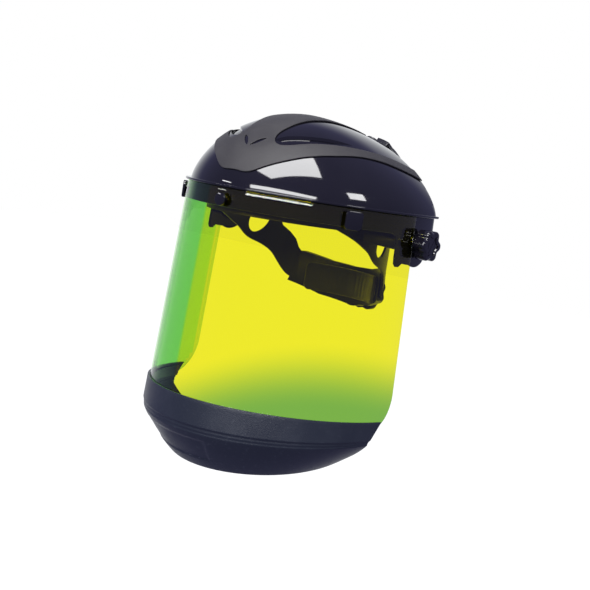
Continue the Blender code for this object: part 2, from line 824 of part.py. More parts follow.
def make_top_strap():
    """Two straps that overlap at the top, where a peg joins them."""
    root = math.radians(89.6)
    over = STRAP_WALL + GAP
    gap_angle = math.radians(1.2)
    left = make_strap("crown_strap_left", -STRAP_OVERLAP, root, 0.0)
    right = make_strap("crown_strap_right", -root, -STRAP_OVERLAP - gap_angle, 0.0)
    tongue_start = -STRAP_OVERLAP - 5 * gap_angle
    tongue = make_strap("crown_strap_tongue", tongue_start, TONGUE_END, over)
    low, high = -STRAP_WALL - GAP, over + GAP
    bore = add_object("peg_bore", strap_axis_cylinder(PEG_RADIUS + GAP, -0.01, 0.01))
    boolean(left, bore, "DIFFERENCE")
    boolean(tongue, bore, "DIFFERENCE")
    stem = strap_axis_cylinder(PEG_RADIUS, low - PEG_HEAD / 2, high + PEG_HEAD / 2)
    peg = add_object("crown_strap_peg", stem, "band_black")
    for name, start, end in (("low", low - PEG_HEAD, low), ("high", high, high + PEG_HEAD)):
        head = strap_axis_cylinder(PEG_HEAD_RADIUS, start, end)
        boolean(peg, add_object(f"peg_head_{name}", head), "UNION")
    return left, right, tongue, peg


def make_slider():
    """A flat loop that keeps the two straps together."""
    half = STRAP_WIDTH / 2 + 2 * GAP

    def outer_place(angle, across):
        return strap_point(angle, across, GAP + SLIDER_WALL)

    def hollow_place(angle, across):
        return strap_point(angle, across, GAP)

    inside = (0, STRAP_ROOT_Y, 0)
    angles = steps(SLIDER_START, SLIDER_END, 5)
    rows = [-half - SLIDER_WALL, half + SLIDER_WALL]
    slider = sheet_mesh(angles, rows, outer_place, inside)
    slider = add_object("crown_strap_slider", slider, "band_black")
    thicken(slider, STRAP_WALL + 2 * GAP + 2 * SLIDER_WALL)
    angles = steps(SLIDER_START - math.radians(4), SLIDER_END + math.radians(4), 7)
    hollow = add_object("slider_hollow", sheet_mesh(angles, [-half, half], hollow_place, inside))
    thicken(hollow, STRAP_WALL + 2 * GAP)
    return boolean(slider, hollow, "DIFFERENCE")


def make_bracket(side, name):
    """The stand-off that carries the crown: a strut from the arm to a round plate."""
    outer = PIVOT_BOSS_INNER - GAP
    inner = outer - BRACKET_PLATE
    root_x = BAND_HALF_WIDTH + GAP
    bm = bmesh.new()
    for y in (STRUT_FRONT_Y, STRUT_REAR_Y):
        for z in (STRUT_LOW, STRUT_HIGH):
            bm.verts.new((side * root_x, y, z))
    for turn in steps(0.0, 2 * math.pi, 12)[:-1]:
        y, z = STRUT_END_RADIUS * math.cos(turn), STRUT_END_RADIUS * math.sin(turn)
        bm.verts.new((side * (inner + BRACKET_PLATE / 3), y, z))
    bmesh.ops.convex_hull(bm, input=bm.verts)
    bmesh.ops.recalc_face_normals(bm, faces=bm.faces)
    bracket = add_object(f"pivot_bracket_{name}", bm, "band_black")
    plate = cylinder_mesh(BRACKET_RADIUS, *sorted((side * inner, side * outer)), 0, segments=28)
    boolean(bracket, add_object(f"bracket_plate_{name}", plate), "UNION")
    bore_ends = sorted((side * BAND_HALF_WIDTH, side * PIVOT_BOSS_OUTER))
    bore = cylinder_mesh(PIVOT_BOLT_RADIUS + GAP, *bore_ends, 0, segments=24)
    boolean(bracket, add_object(f"bracket_bore_{name}", bore), "DIFFERENCE")
    pocket_ends = sorted((side * BAND_HALF_WIDTH, side * (inner - RUNNING_GAP)))
    pocket = cylinder_mesh(PIVOT_BOLT_RADIUS * 2 + GAP, *pocket_ends, 0, segments=24)
    boolean(bracket, add_object(f"bracket_pocket_{name}", pocket), "DIFFERENCE")
    return bracket


def lobed_outline(radius, lobes, dip, count):
    """A round knob's outline with finger dips between its lobes."""
    points = []
    for turn in steps(0.0, 2 * math.pi, count)[:-1]:
        reach = radius - dip * (0.5 + 0.5 * math.cos(lobes * turn)) ** 1.5
        points.append((reach * math.cos(turn), reach * math.sin(turn)))
    return points


def side_cylinder(radius, side, near, far, segments=32):
    """A cylinder about the tilt axis between two distances out on one side."""
    return cylinder_mesh(radius, *sorted((side * near, side * far)), 0, segments=segments)


def make_pivot(side, name):
    """The bolt, washer, lobed knob and its nut, which clamp the crown to its bracket."""
    washer_low = PIVOT_BOSS_OUTER + GAP
    knob_low = washer_low + PIVOT_WASHER + GAP
    head_end = PIVOT_BOSS_INNER - 2 * GAP - BRACKET_PLATE - RUNNING_GAP
    bolt = side_cylinder(PIVOT_BOLT_RADIUS, side, head_end - GAP, knob_low + BOLT_END)
    bolt = add_object(f"pivot_bolt_{name}", bolt, "steel")
    head = side_cylinder(PIVOT_BOLT_RADIUS * 1.8, side, head_end - BOLT_HEAD, head_end, 6)
    boolean(bolt, add_object(f"bolt_head_{name}", head), "UNION")
    washer = side_cylinder(PIVOT_BOSS_RADIUS - 0.001, side, washer_low, washer_low + PIVOT_WASHER)
    washer = add_object(f"pivot_washer_{name}", washer, "steel")
    knob_high = knob_low + KNOB_LENGTH
    bore = side_cylinder(PIVOT_BOLT_RADIUS + GAP, side, PIVOT_BOSS_INNER, knob_high - 0.002)
    bore = add_object(f"knob_bore_{name}", bore)
    boolean(washer, bore, "DIFFERENCE")
    outline = lobed_outline(KNOB_RADIUS, KNOB_LOBES, KNOB_DIP, 60)
    ends = sorted((side * knob_low, side * knob_high))
    knob = prism(f"tension_knob_{name}", outline, *ends, 0, "gloss_black")
    boolean(knob, bore, "DIFFERENCE")
    nut_high = knob_low + NUT_LENGTH
    seat = side_cylinder(NUT_RADIUS + GAP, side, PIVOT_BOSS_INNER, nut_high + GAP, 6)
    boolean(knob, add_object(f"nut_seat_{name}", seat), "DIFFERENCE")
    nut = side_cylinder(NUT_RADIUS, side, knob_low + GAP, nut_high, 6)
    nut = add_object(f"knob_nut_{name}", nut, "steel")
    boolean(nut, bore, "DIFFERENCE")
    pivot = (side * knob_low, 0.0, 0.0)
    return bolt, washer, put_origin(knob, pivot), put_origin(nut, pivot)


# ---- Nape ratchet ---------------------------------------------------------------


def sleeve_outline():
    """The sleeve seen from behind, as (x, z)."""
    middle = [
        (0.0, SLEEVE_TOP),
        (SLEEVE_MOUTH_TOP_X * 0.5, SLEEVE_TOP + 0.0015),
        (SLEEVE_MOUTH_TOP_X, SLEEVE_END_TOP),
    ]
    lower = [
        (SLEEVE_MOUTH_BOTTOM_X, SLEEVE_END_BOTTOM),
        (SLEEVE_MOUTH_BOTTOM_X * 0.55, SLEEVE_BOTTOM + 0.004),
        (0.0, SLEEVE_BOTTOM),
    ]
    return mirrored(middle + lower)


def make_sleeve():
    """The rear housing: a curved sleeve that is hollow for the band's tails and racks."""
    end = math.radians(50)
    angles = steps(math.pi - end, math.pi + end, 40)
    inside = (0, BAND_CENTRE_Y, RATCHET_LEVEL)

    def outer_place(angle, level):
        return band_point(angle, level, SLEEVE_OUTER_GROW)

    def hollow_place(angle, level):
        return band_point(angle, level, GAP)

    wall = SLEEVE_OUTER_GROW - SLEEVE_INNER_GROW
    bm = sheet_mesh(angles, [-0.095, -0.02], outer_place, inside)
    sleeve = thicken(add_object("nape_sleeve", bm, "band_black"), wall)
    shape = prism("sleeve_shape", sleeve_outline(), 0.0, WIDE, 1)
    boolean(sleeve, shape, "INTERSECT")
    deep = RATCHET_LEVEL - RACK_BACK - RUNNING_GAP
    tail_gap = 2 * RUNNING_GAP
    levels = [deep, TAIL_TOP + tail_gap]
    hollow = add_object("sleeve_hollow", sheet_mesh(angles, levels, hollow_place, inside))
    thicken(hollow, BAND_WALL + 2 * GAP)
    shallow = TAIL_BOTTOM - tail_gap
    half = [
        (0.0, deep - 0.001),
        (RACK_ROOM, deep - 0.001),
        (RACK_ROOM + 0.013, shallow),
        (WIDE, shallow),
        (WIDE, 0.0),
        (0.0, 0.0),
    ]
    boolean(hollow, prism("hollow_shape", mirrored(half), 0.0, WIDE, 1), "INTERSECT")
    boolean(sleeve, hollow, "DIFFERENCE")
    bore_radius = PINION_RADIUS + TOOTH_MODULE + RUNNING_GAP
    bore_ends = NAPE_Y - BAND_WALL - GAP, NAPE_Y + 0.02
    bore = cylinder_mesh(bore_radius, *bore_ends, 1, (0.0, RATCHET_LEVEL))
    boolean(sleeve, add_object("pinion_bore", bore), "DIFFERENCE")
    return sleeve


def gear_outline():
    """Straight-sided teeth round the pinion, as (x, z) about its axis."""
    outer = PINION_RADIUS + TOOTH_MODULE * 0.7
    root = PINION_RADIUS - TOOTH_MODULE * 1.2
    pitch = 2 * math.pi / PINION_TEETH
    points = []
    for tooth in range(PINION_TEETH):
        for share, reach in ((-0.24, root), (-0.07, outer), (0.07, outer), (0.24, root)):
            turn = (tooth + share) * pitch
            points.append((reach * math.sin(turn), reach * math.cos(turn)))
    return points


def rack_outline(direction):
    """A rack's edge with teeth towards the pinion: direction 1 is above it, -1 below."""
    pitch = math.pi * TOOTH_MODULE
    length = NAPE_RADIUS * math.sin(RACK_ANGLE)
    count = int(length / pitch)
    pitch_line = RATCHET_LEVEL + direction * PINION_RADIUS
    tip = pitch_line - direction * TOOTH_MODULE * 0.7
    root = pitch_line + direction * TOOTH_MODULE * 1.2
    back = RATCHET_LEVEL + direction * RACK_BACK
    low = -0.010
    points = [(low, back), (low, root)]
    for tooth in range(-3, count):
        middle = (tooth + 0.5) * pitch
        for share, level in ((-0.24, root), (-0.07, tip), (0.07, tip), (0.24, root)):
            points.append((middle + share * pitch, level))
    points += [(length, root), (length, back)]
    return points


def make_rack(name, direction):
    """A toothed strip that slides round the sleeve, about the nape's centre of curvature."""
    radius = NAPE_RADIUS - BAND_WALL / 2 + RACK_WALL / 2

    def place(turn, level):
        x = direction * radius * math.sin(turn)
        return Vector((x, NAPE_CENTRE_Y + radius * math.cos(turn), level))

    turns = steps(-math.radians(12), RACK_ANGLE + math.radians(4), 18)
    inside = (0, NAPE_CENTRE_Y, RATCHET_LEVEL)
    bm = sheet_mesh(turns, [RATCHET_LEVEL - 0.02, RATCHET_LEVEL + 0.02], place, inside)
    rack = thicken(add_object(name, bm, "band_black"), RACK_WALL)
    outline = [(direction * x, z) for x, z in rack_outline(direction)]
    boolean(rack, prism(f"{name}_shape", outline, 0.0, WIDE, 1), "INTERSECT")
    return put_origin(rack, (0.0, NAPE_CENTRE_Y, RATCHET_LEVEL))


def make_ratchet():
    """The housing, pinion, spindle screw and lobed knob behind the sleeve."""
    centre = (0.0, RATCHET_LEVEL)
    start = NAPE_Y + SLEEVE_OUTER_GROW + GAP
    end = start + HOUSING_LENGTH
    housing = add_object(
        "ratchet_housing", cylinder_mesh(HOUSING_RADIUS, start, end, 1, centre), "band_black"
    )
    hollow_ends = start - HOUSING_LENGTH, end - HOUSING_WALL
    hollow = cylinder_mesh(HOUSING_RADIUS - HOUSING_WALL, *hollow_ends, 1, centre)
    boolean(housing, add_object("housing_hollow", hollow), "DIFFERENCE")
    bore = cylinder_mesh(SHAFT_RADIUS + RUNNING_GAP, start, end + 0.01, 1, centre, 24)
    boolean(housing, add_object("housing_bore", bore), "DIFFERENCE")

    pinion_low = NAPE_Y - BAND_WALL
    pinion = prism("ratchet_pinion", gear_outline(), pinion_low, NAPE_Y + 0.0002, 1, "band_black")
    pinion.data.transform(Matrix.Translation((0.0, 0.0, RATCHET_LEVEL)))
    shaft = cylinder_mesh(SHAFT_RADIUS, pinion_low, end + 0.002, 1, centre, 24)
    boolean(pinion, add_object("pinion_shaft", shaft), "UNION")
    middle = start + HOUSING_LENGTH / 2
    ratchet_ring = cylinder_mesh(DETENT_RADIUS, middle - 0.002, middle + 0.002, 1, centre, 12)
    boolean(pinion, add_object("ratchet_ring", ratchet_ring), "UNION")
    screw_bore = cylinder_mesh(SPINDLE_RADIUS + GAP, end - 0.008, end + 0.02, 1, centre, 20)
    screw_bore = add_object("screw_bore", screw_bore)
    boolean(pinion, screw_bore, "DIFFERENCE")

    knob_low = end + GAP
    knob_high = knob_low + RATCHET_KNOB_LENGTH
    outline = lobed_outline(RATCHET_KNOB_RADIUS, RATCHET_KNOB_LOBES, RATCHET_KNOB_DIP, 64)
    knob = prism("ratchet_knob", outline, knob_low, knob_high, 1, "gloss_black")
    knob.data.transform(Matrix.Translation((0.0, 0.0, RATCHET_LEVEL)))
    seat_ends = knob_low - 0.01, end + 0.002 + GAP
    seat = cylinder_mesh(SHAFT_RADIUS + GAP, *seat_ends, 1, centre, 24)
    boolean(knob, add_object("knob_seat", seat), "DIFFERENCE")
    boolean(knob, screw_bore, "DIFFERENCE")

    screw = cylinder_mesh(SPINDLE_RADIUS, end - 0.006, knob_high + 0.001, 1, centre, 20)
    screw = add_object("ratchet_screw", screw, "steel")
    head = cylinder_mesh(SPINDLE_RADIUS * 1.9, knob_high + GAP, knob_high + 0.002, 1, centre, 20)
    boolean(screw, add_object("screw_head", head), "UNION")
    axis_point = (0.0, NAPE_Y, RATCHET_LEVEL)
    for piece in (pinion, knob, screw):
        put_origin(piece, axis_point)
    return housing, pinion, knob, screw


# ---- Assembly -------------------------------------------------------------------


def main():
    headgear = empty("headgear", (0, 0, 0))
    tilt_axis = empty("tilt_axis", (0, 0, 0), headgear)
    crown = make_crown()
    panel = make_panel()
    window = make_window()
    latches = make_latches(crown, window)
    guard = make_guard()
    band = make_headband()
    sweatband = make_pad(
        "sweatband", math.radians(70), BROW_BOTTOM + 0.001, BROW_TOP - 0.001, -BAND_WALL - GAP
    )
    nape_pad = make_pad(
        "nape_pad", math.radians(36), -0.0745, -0.0435, SLEEVE_INNER_GROW - GAP, math.pi, 18
    )
    straps = [*make_top_strap(), make_slider()]
    baffles = [make_baffle(1, "left"), make_baffle(-1, "right")]
    sleeve = make_sleeve()
    racks = [make_rack("rack_left", 1), make_rack("rack_right", -1)]
    housing, pinion, knob, screw = make_ratchet()
    bpy.context.view_layer.update()
    ride_on(tilt_axis, crown, panel, window, guard, *latches, *baffles)
    ride_on(headgear, band, sweatband, nape_pad, *straps, sleeve, *racks, housing)
    ride_on(headgear, pinion, knob, screw)
    for side, name in ((1, "left"), (-1, "right")):
        pieces = make_pivot(side, name)
        bpy.context.view_layer.update()
        ride_on(headgear, make_bracket(side, name), *pieces)


main()
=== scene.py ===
# %% [markdown]
# # A tilting face shield
#
# This lesson dresses a finished mechanical model. Each cell below makes one piece or one
# finish, and hangs it on its body, so that the shield looks right with the crown down,
# tilted up, or anywhere between.

import math

import bmesh
import bpy
from mathutils import Matrix, Vector


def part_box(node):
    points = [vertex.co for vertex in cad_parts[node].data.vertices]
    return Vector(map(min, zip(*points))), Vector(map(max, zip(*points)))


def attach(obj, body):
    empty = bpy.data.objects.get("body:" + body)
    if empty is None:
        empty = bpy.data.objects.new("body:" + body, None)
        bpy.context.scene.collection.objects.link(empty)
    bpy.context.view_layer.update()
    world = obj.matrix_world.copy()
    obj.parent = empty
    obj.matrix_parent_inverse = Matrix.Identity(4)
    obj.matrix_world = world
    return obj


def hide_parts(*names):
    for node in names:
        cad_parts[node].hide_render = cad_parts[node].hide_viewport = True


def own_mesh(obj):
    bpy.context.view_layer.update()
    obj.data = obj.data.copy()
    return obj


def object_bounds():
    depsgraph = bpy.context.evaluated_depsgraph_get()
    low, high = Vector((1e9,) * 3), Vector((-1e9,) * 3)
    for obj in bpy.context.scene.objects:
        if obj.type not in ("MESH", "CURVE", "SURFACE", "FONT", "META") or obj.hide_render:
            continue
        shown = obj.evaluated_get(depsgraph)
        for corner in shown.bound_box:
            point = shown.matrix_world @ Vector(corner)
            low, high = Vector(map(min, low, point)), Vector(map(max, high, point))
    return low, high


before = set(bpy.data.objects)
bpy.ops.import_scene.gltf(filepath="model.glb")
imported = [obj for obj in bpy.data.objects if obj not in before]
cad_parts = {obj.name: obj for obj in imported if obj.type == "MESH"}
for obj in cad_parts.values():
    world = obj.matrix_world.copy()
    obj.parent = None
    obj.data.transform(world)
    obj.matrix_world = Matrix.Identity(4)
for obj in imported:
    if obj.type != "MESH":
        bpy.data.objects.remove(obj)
CAD_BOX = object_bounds()
print("the model's box:", [[round(x, 4) for x in corner] for corner in CAD_BOX])

# %% [markdown]
# ## Camera
#
# The shield is seen from the wearer's front left, a little from above, and the camera is
# rolled, so the shield leans as if a hand held it up. A long lens from more than a metre
# away keeps the window's edges nearly parallel. The camera's axes are worked out from
# the direction it looks in, then turned by the roll.

# %% Place the camera
AZIMUTH, ELEVATION, ROLL = (math.radians(a) for a in (37.36, 5.99, 9.25))
TARGET = Vector((-0.00584, -0.01256, -0.07436))
DISTANCE = 1.2942

back = Vector((
    math.sin(AZIMUTH) * math.cos(ELEVATION),
    -math.cos(AZIMUTH) * math.cos(ELEVATION),
    math.sin(ELEVATION),
))
right = Vector((math.cos(AZIMUTH), math.sin(AZIMUTH), 0.0))
up = back.cross(right)
camera_x = right * math.cos(ROLL) + up * math.sin(ROLL)
camera_y = up * math.cos(ROLL) - right * math.sin(ROLL)

camera = bpy.data.objects.new("camera", bpy.data.cameras.new("camera"))
camera.data.lens = 78.16
camera.data.sensor_width = 36.0
camera.matrix_world = Matrix.Translation(TARGET + back * DISTANCE) @ (
    Matrix((camera_x, camera_y, back)).transposed().to_4x4()
)
bpy.context.scene.collection.objects.link(camera)
bpy.context.scene.camera = camera
bpy.context.scene.view_settings.view_transform = "Standard"
print("camera stands at", [round(x, 3) for x in camera.location])

# %% [markdown]
# ## Curves of the object
#
# The crown, the window and the chin guard all follow one plan curve: a round front joined
# to a longer rear, so each is a half-ellipse. The window widens a little towards its foot.
# The dome is a fuller, squarer curve than a sphere, and leans forward. A surface here is a
# function of two numbers that gives a point, which lets one helper shape any piece.

# %% The plan, the window and the dome as functions
PLAN_CENTRE_Y = -0.012
PLAN_REAR = 0.170
WINDOW_HALF_WIDTH = 0.120
WINDOW_FRONT = 0.137
WINDOW_FLARE = 0.043
WINDOW_WALL = 0.0015
RIM_LEVEL = 0.0265
RIM_REAR_Y = 0.0313
DOME_HALF_WIDTH = 0.1195
DOME_FRONT = 0.133
DOME_HEIGHT = 0.077
DOME_LEAN = 0.030
SIDE_FULLNESS = 1.81
TOP_FULLNESS = 1.54
LEAN_POWER = 1.5
HALVINGS = 26
ARCH_TOP_Y = 0.017
GAP = 0.0003


def plan_point(angle, half_width, front, level, rear=PLAN_REAR):
    depth = front if math.cos(angle) > 0 else rear
    y = PLAN_CENTRE_Y - depth * math.cos(angle)
    return Vector((half_width * math.sin(angle), y, level))


def plan_angle(y):
    """The angle, from the front, at which the window's plan curve reaches y."""
    depth = WINDOW_FRONT if y < PLAN_CENTRE_Y else PLAN_REAR
    return math.acos((PLAN_CENTRE_Y - y) / depth)


def window_point(angle, level, grow=0.0):
    out = WINDOW_FLARE * (RIM_LEVEL - level) + grow
    return plan_point(angle, WINDOW_HALF_WIDTH + out, WINDOW_FRONT + out, level)


def dome_shares(rise):
    """The dome's reach and height at a rise, each as a share of the whole."""
    turn = rise * math.pi / 2
    reach = max(math.cos(turn), 0.0) ** (2 / SIDE_FULLNESS)
    return reach, math.sin(turn) ** (2 / TOP_FULLNESS)


def dome_point(angle, rise):
    """A point of the dome: rise is 0 at the rim and 1 at the top."""
    reach, height = dome_shares(rise)
    level = RIM_LEVEL + DOME_HEIGHT * height
    half_width, front = DOME_HALF_WIDTH * reach, DOME_FRONT * reach
    point = plan_point(angle, half_width, front, level, PLAN_REAR * reach)
    point.y -= DOME_LEAN * height**LEAN_POWER
    return point


def on_dome(x, y):
    """The point of the dome that is straight above x and y, found by halving."""
    low, high = 0.0, 1.0
    for _ in range(HALVINGS):
        rise = (low + high) / 2
        reach, height = dome_shares(rise)
        along = y - PLAN_CENTRE_Y + DOME_LEAN * height**LEAN_POWER
        depth = DOME_FRONT if along < 0 else PLAN_REAR
        inside = (x / (DOME_HALF_WIDTH * reach)) ** 2 + (along / (depth * reach)) ** 2 < 1
        low, high = (rise, high) if inside else (low, rise)
    return Vector((x, y, RIM_LEVEL + DOME_HEIGHT * height))


def steps(low, high, count):
    return [low + (high - low) * i / count for i in range(count + 1)]


print("top of the dome:", [round(x, 4) for x in on_dome(0.0, -0.04)])

# %% [markdown]
# ## How a moulded piece is made
#
# Nearly every part of this shield is a moulded sheet: a flat outline, maybe with holes,
# that has been given a wall and rounded edges, and then curved. It could be cut from a
# curved shell with Booleans, but those leave ragged edges that won't take a rounding. So
# the outline is filled and pulled out while it is flat, its rims are bevelled there, where
# bevels are clean, and knife cuts give it enough points to bend. Only then is each point
# carried to the curved surface, by its height above it.

# %% Helpers that shape a sheet
def slab(outlines, wall, rounding, cell, segments=3):
    """A flat sheet from z = 0 to wall. The first outline is its edge, others are holes."""
    shape = bmesh.new()
    for outline in outlines:
        ring = [shape.verts.new((x, y, 0.0)) for x, y in outline]
        for first, second in zip(ring, ring[1:] + ring[:1]):
            shape.edges.new((first, second))
    bmesh.ops.triangle_fill(shape, use_beauty=True, edges=shape.edges[:])
    pulled = bmesh.ops.extrude_face_region(shape, geom=shape.faces[:])["geom"]
    moved = [item for item in pulled if isinstance(item, bmesh.types.BMVert)]
    bmesh.ops.translate(shape, verts=moved, vec=(0.0, 0.0, wall))
    bmesh.ops.recalc_face_normals(shape, faces=shape.faces[:])
    bmesh.ops.dissolve_limit(
        shape, angle_limit=0.01, verts=shape.verts[:], edges=shape.edges[:]
    )
    if rounding:
        rims = [
            edge
            for edge in shape.edges
            if edge.calc_face_angle(0.0) > 1.2
            and abs(edge.verts[0].co.z - edge.verts[1].co.z) < 1e-6
        ]
        bmesh.ops.bevel(
            shape, geom=rims, offset=rounding, segments=segments, profile=0.5,
            affect="EDGES", material=-1, clamp_overlap=True,
        )
    for axis in (0, 1):
        places = [vert.co[axis] for vert in shape.verts]
        low, high = min(places), max(places)
        normal = Vector((1.0, 0.0, 0.0) if axis == 0 else (0.0, 1.0, 0.0))
        for cut in steps(low, high, max(1, round((high - low) / cell)))[1:-1]:
            everything = shape.verts[:] + shape.edges[:] + shape.faces[:]
            bmesh.ops.bisect_plane(
                shape, geom=everything, plane_co=normal * cut, plane_no=normal
            )
    return shape


def lift(surface, u, v, height):
    """The point that far outside surface(u, v), along its normal."""
    step = 1e-4
    here = surface(u, v)
    across, along = surface(u + step, v) - here, surface(u, v + step) - here
    return here + across.cross(along).normalized() * height


def bend(shape, surface, raise_by=0.0):
    """Carries a flat sheet's points to a curved surface, each by its own height."""
    for vert in shape.verts:
        vert.co = lift(surface, vert.co.x, vert.co.y, vert.co.z + raise_by)
    bmesh.ops.recalc_face_normals(shape, faces=shape.faces[:])
    return shape


def curved_grid(columns, rows, surface):
    """A single-walled grid over surface(column, row)."""
    shape = bmesh.new()
    across, down = len(columns) - 1, len(rows) - 1
    bmesh.ops.create_grid(shape, x_segments=across, y_segments=down, size=0.5)
    for vert in shape.verts:
        column = columns[round((vert.co.x + 0.5) * across)]
        row = rows[round((vert.co.y + 0.5) * down)]
        vert.co = surface(column, row)
    bmesh.ops.remove_doubles(shape, verts=shape.verts[:], dist=1e-5)
    return shape


def face_out(shape, middle):
    """Turns a single-walled shape's faces away from a point inside it."""
    bmesh.ops.recalc_face_normals(shape, faces=shape.faces[:])
    shape.normal_update()
    inside = Vector(middle)
    if sum(f.normal.dot(f.calc_center_median() - inside) for f in shape.faces) < 0:
        bmesh.ops.reverse_faces(shape, faces=shape.faces[:])


def soft_outline(points, closed=True, count=6):
    """A smooth line through the points, each stretch divided into count."""
    total = len(points)
    line = []
    for i in range(total if closed else total - 1):
        if closed:
            a, b, c, d = (Vector(points[(i + k) % total]) for k in (-1, 0, 1, 2))
        else:
            a, b, c, d = (Vector(points[min(max(i + k, 0), total - 1)]) for k in (-1, 0, 1, 2))
        for t in steps(0.0, 1.0, count)[:-1]:
            bow = (2 * b) + (c - a) * t + (2 * a - 5 * b + 4 * c - d) * t**2
            line.append(tuple((bow + (3 * b - a - 3 * c + d) * t**3) / 2))
    return line if closed else line + [tuple(points[-1])]


def mirrored(half):
    """A closed outline from its half at +X."""
    return half + [(-x, y) for x, y in reversed(half) if abs(x) > 1e-6]


def ellipse(x, y, half_width, half_height, count=40, lean=0.0):
    turns = steps(0.0, 2 * math.pi, count)[:-1]
    points = [(half_width * math.cos(t), half_height * math.sin(t)) for t in turns]
    c, s = math.cos(lean), math.sin(lean)
    return [(x + c * a - s * b, y + s * a + c * b) for a, b in points]


test_edge = [(0, 0), (0.1, 0), (0.1, 0.05), (0, 0.05)]
test_hole = ellipse(0.05, 0.025, 0.01, 0.01)
test = slab([test_edge, test_hole], 0.002, rounding=0.0005, cell=0.005)
print("a test sheet has", len(test.faces), "faces")
test.free()

# %% [markdown]
# ## How a finish is written
#
# A finish is a small graph of shader nodes. Wiring nodes one by one hides the idea, so a
# class wraps a socket and lets Python's own signs add the Math nodes: `1 - mask` or
# `grain * 0.1` reads as the sum it is. Any other node comes from one method, which takes
# the node's type, its settings, and what goes into its sockets.

# %% A socket that can be added and multiplied
class Field:
    """One output socket. Sums of fields and numbers add Math nodes."""

    def __init__(self, finish, socket):
        self.finish, self.socket = finish, socket

    def combine(self, operation, *values):
        settings = {"operation": operation}
        return self.finish.node("ShaderNodeMath", settings, dict(enumerate(values)))

    def __add__(self, other):
        return self.combine("ADD", self, other)

    def __sub__(self, other):
        return self.combine("SUBTRACT", self, other)

    def __rsub__(self, other):
        return self.combine("SUBTRACT", other, self)

    def __mul__(self, other):
        return self.combine("MULTIPLY", self, other)

    __radd__ = __add__
    __rmul__ = __mul__

    def sine(self):
        return self.combine("SINE", self)

    def between(self, low, high):
        """0 where the field is low, 1 where it is high, with soft ends."""
        return self.finish.node(
            "ShaderNodeMapRange",
            {"interpolation_type": "SMOOTHSTEP"},
            {"Value": self, "From Min": low, "From Max": high},
        )


class Finish:
    """A material with one Principled shader, whose constants sit on its own sockets."""

    def __init__(self, name, **constants):
        self.material = bpy.data.materials.new(name)
        self.material.use_nodes = True
        self.tree = self.material.node_tree
        self.shader = self.tree.nodes["Principled BSDF"]
        self.output = self.tree.nodes["Material Output"]
        for socket, value in constants.items():
            self.shader.inputs[socket.replace("_", " ")].default_value = value

    def node(self, kind, settings=None, sockets=None, output=0):
        node = self.tree.nodes.new(kind)
        for key, value in (settings or {}).items():
            setattr(node, key, value)
        for key, value in (sockets or {}).items():
            if isinstance(value, Field):
                self.tree.links.new(value.socket, node.inputs[key])
            else:
                node.inputs[key].default_value = value
        return Field(self, node.outputs[output])

    def place(self, output="Object"):
        return self.node("ShaderNodeTexCoord", output=output)

    def part(self, vector, axis):
        """One coordinate of a vector: 0, 1 or 2."""
        return self.node("ShaderNodeSeparateXYZ", None, {0: vector}, axis)

    def noise(self, scale, detail=3.0, roughness=0.5):
        sockets = {"Scale": scale, "Detail": detail, "Roughness": roughness}
        return self.node("ShaderNodeTexNoise", None, {**sockets, "Vector": self.place()})

    def cells(self, scale):
        return self.node("ShaderNodeTexVoronoi", None, {"Scale": scale, "Vector": self.place()})

    def blend(self, share, first, second):
        """A colour between two, by a field."""
        as_colour = {"data_type": "RGBA"}
        sockets = {0: share, 6: self.colour(first), 7: self.colour(second)}
        return self.node("ShaderNodeMix", as_colour, sockets, 2)

    @staticmethod
    def colour(value):
        return value if isinstance(value, Field) else (*value, 1.0)

    def feed(self, **fields):
        for socket, field in fields.items():
            self.tree.links.new(field.socket, self.shader.inputs[socket.replace("_", " ")])
        return self

    def bump(self, height, strength, distance):
        sockets = {"Height": height, "Strength": strength, "Distance": distance}
        normal = self.node("ShaderNodeBump", None, sockets)
        return self.feed(Normal=normal)


# %% [markdown]
# ## Gloss black
#
# The crown is injection-moulded in black plastic with a high polish. Its colour is not a
# true black but a very dark violet grey. Polished plastic is never a perfect mirror:
# handling leaves faint smears, which show as slow changes in roughness, and a few fine
# scuffs. A slight waviness in the surface keeps the highlights from looking computed.

# %% Make the gloss black
gloss_black = Finish("gloss_black", IOR=1.46, Coat_Roughness=0.04)
smear = gloss_black.noise(9.0, 4.0).between(0.35, 0.7)
scuff = gloss_black.noise(420.0, 2.0).between(0.66, 0.74)
gloss_black.feed(
    Base_Color=gloss_black.blend(smear, (0.0028, 0.0026, 0.0045), (0.0045, 0.0042, 0.0070)),
    Roughness=smear * 0.04 + scuff * 0.08 + 0.03,
)
gloss_black.bump(gloss_black.noise(28.0, 2.0), 0.06, 0.0006)
print("gloss black:", len(gloss_black.tree.nodes), "nodes")

# %% [markdown]
# ## Cover grey
#
# The cover panel on the dome is a softer, unpolished grey. A matte moulding gets its look
# from a fine grain etched in the mould: cells well under a millimetre, seen as a soft
# sheen rather than as bumps. Its raised edges rub lighter with wear, which a noise at a
# larger scale suggests.

# %% Make the cover grey
cover_grey = Finish("cover_grey", IOR=1.45, Specular_IOR_Level=0.32)
grain = cover_grey.cells(1400.0)
cloud = cover_grey.noise(35.0, 4.0).between(0.3, 0.75)
speck = cover_grey.noise(900.0, 2.0).between(0.62, 0.75)
cover_grey.feed(
    Base_Color=cover_grey.blend(
        speck * 0.35, cover_grey.blend(cloud, (0.0190, 0.0182, 0.0192), (0.0250, 0.0240, 0.0250)),
        (0.060, 0.058, 0.060),
    ),
    Roughness=cloud * 0.10 + 0.54,
)
cover_grey.bump(grain, 0.35, 0.0003)

# %% [markdown]
# ## Guard navy
#
# The chin guard is satin plastic, a dark slate blue. Its mould grain is coarser than the
# cover's, and there is more of a haze over it, since it is the part that gets set down on
# a bench. Scuffs gather low on the bowl, so a field that grows downwards scales them.

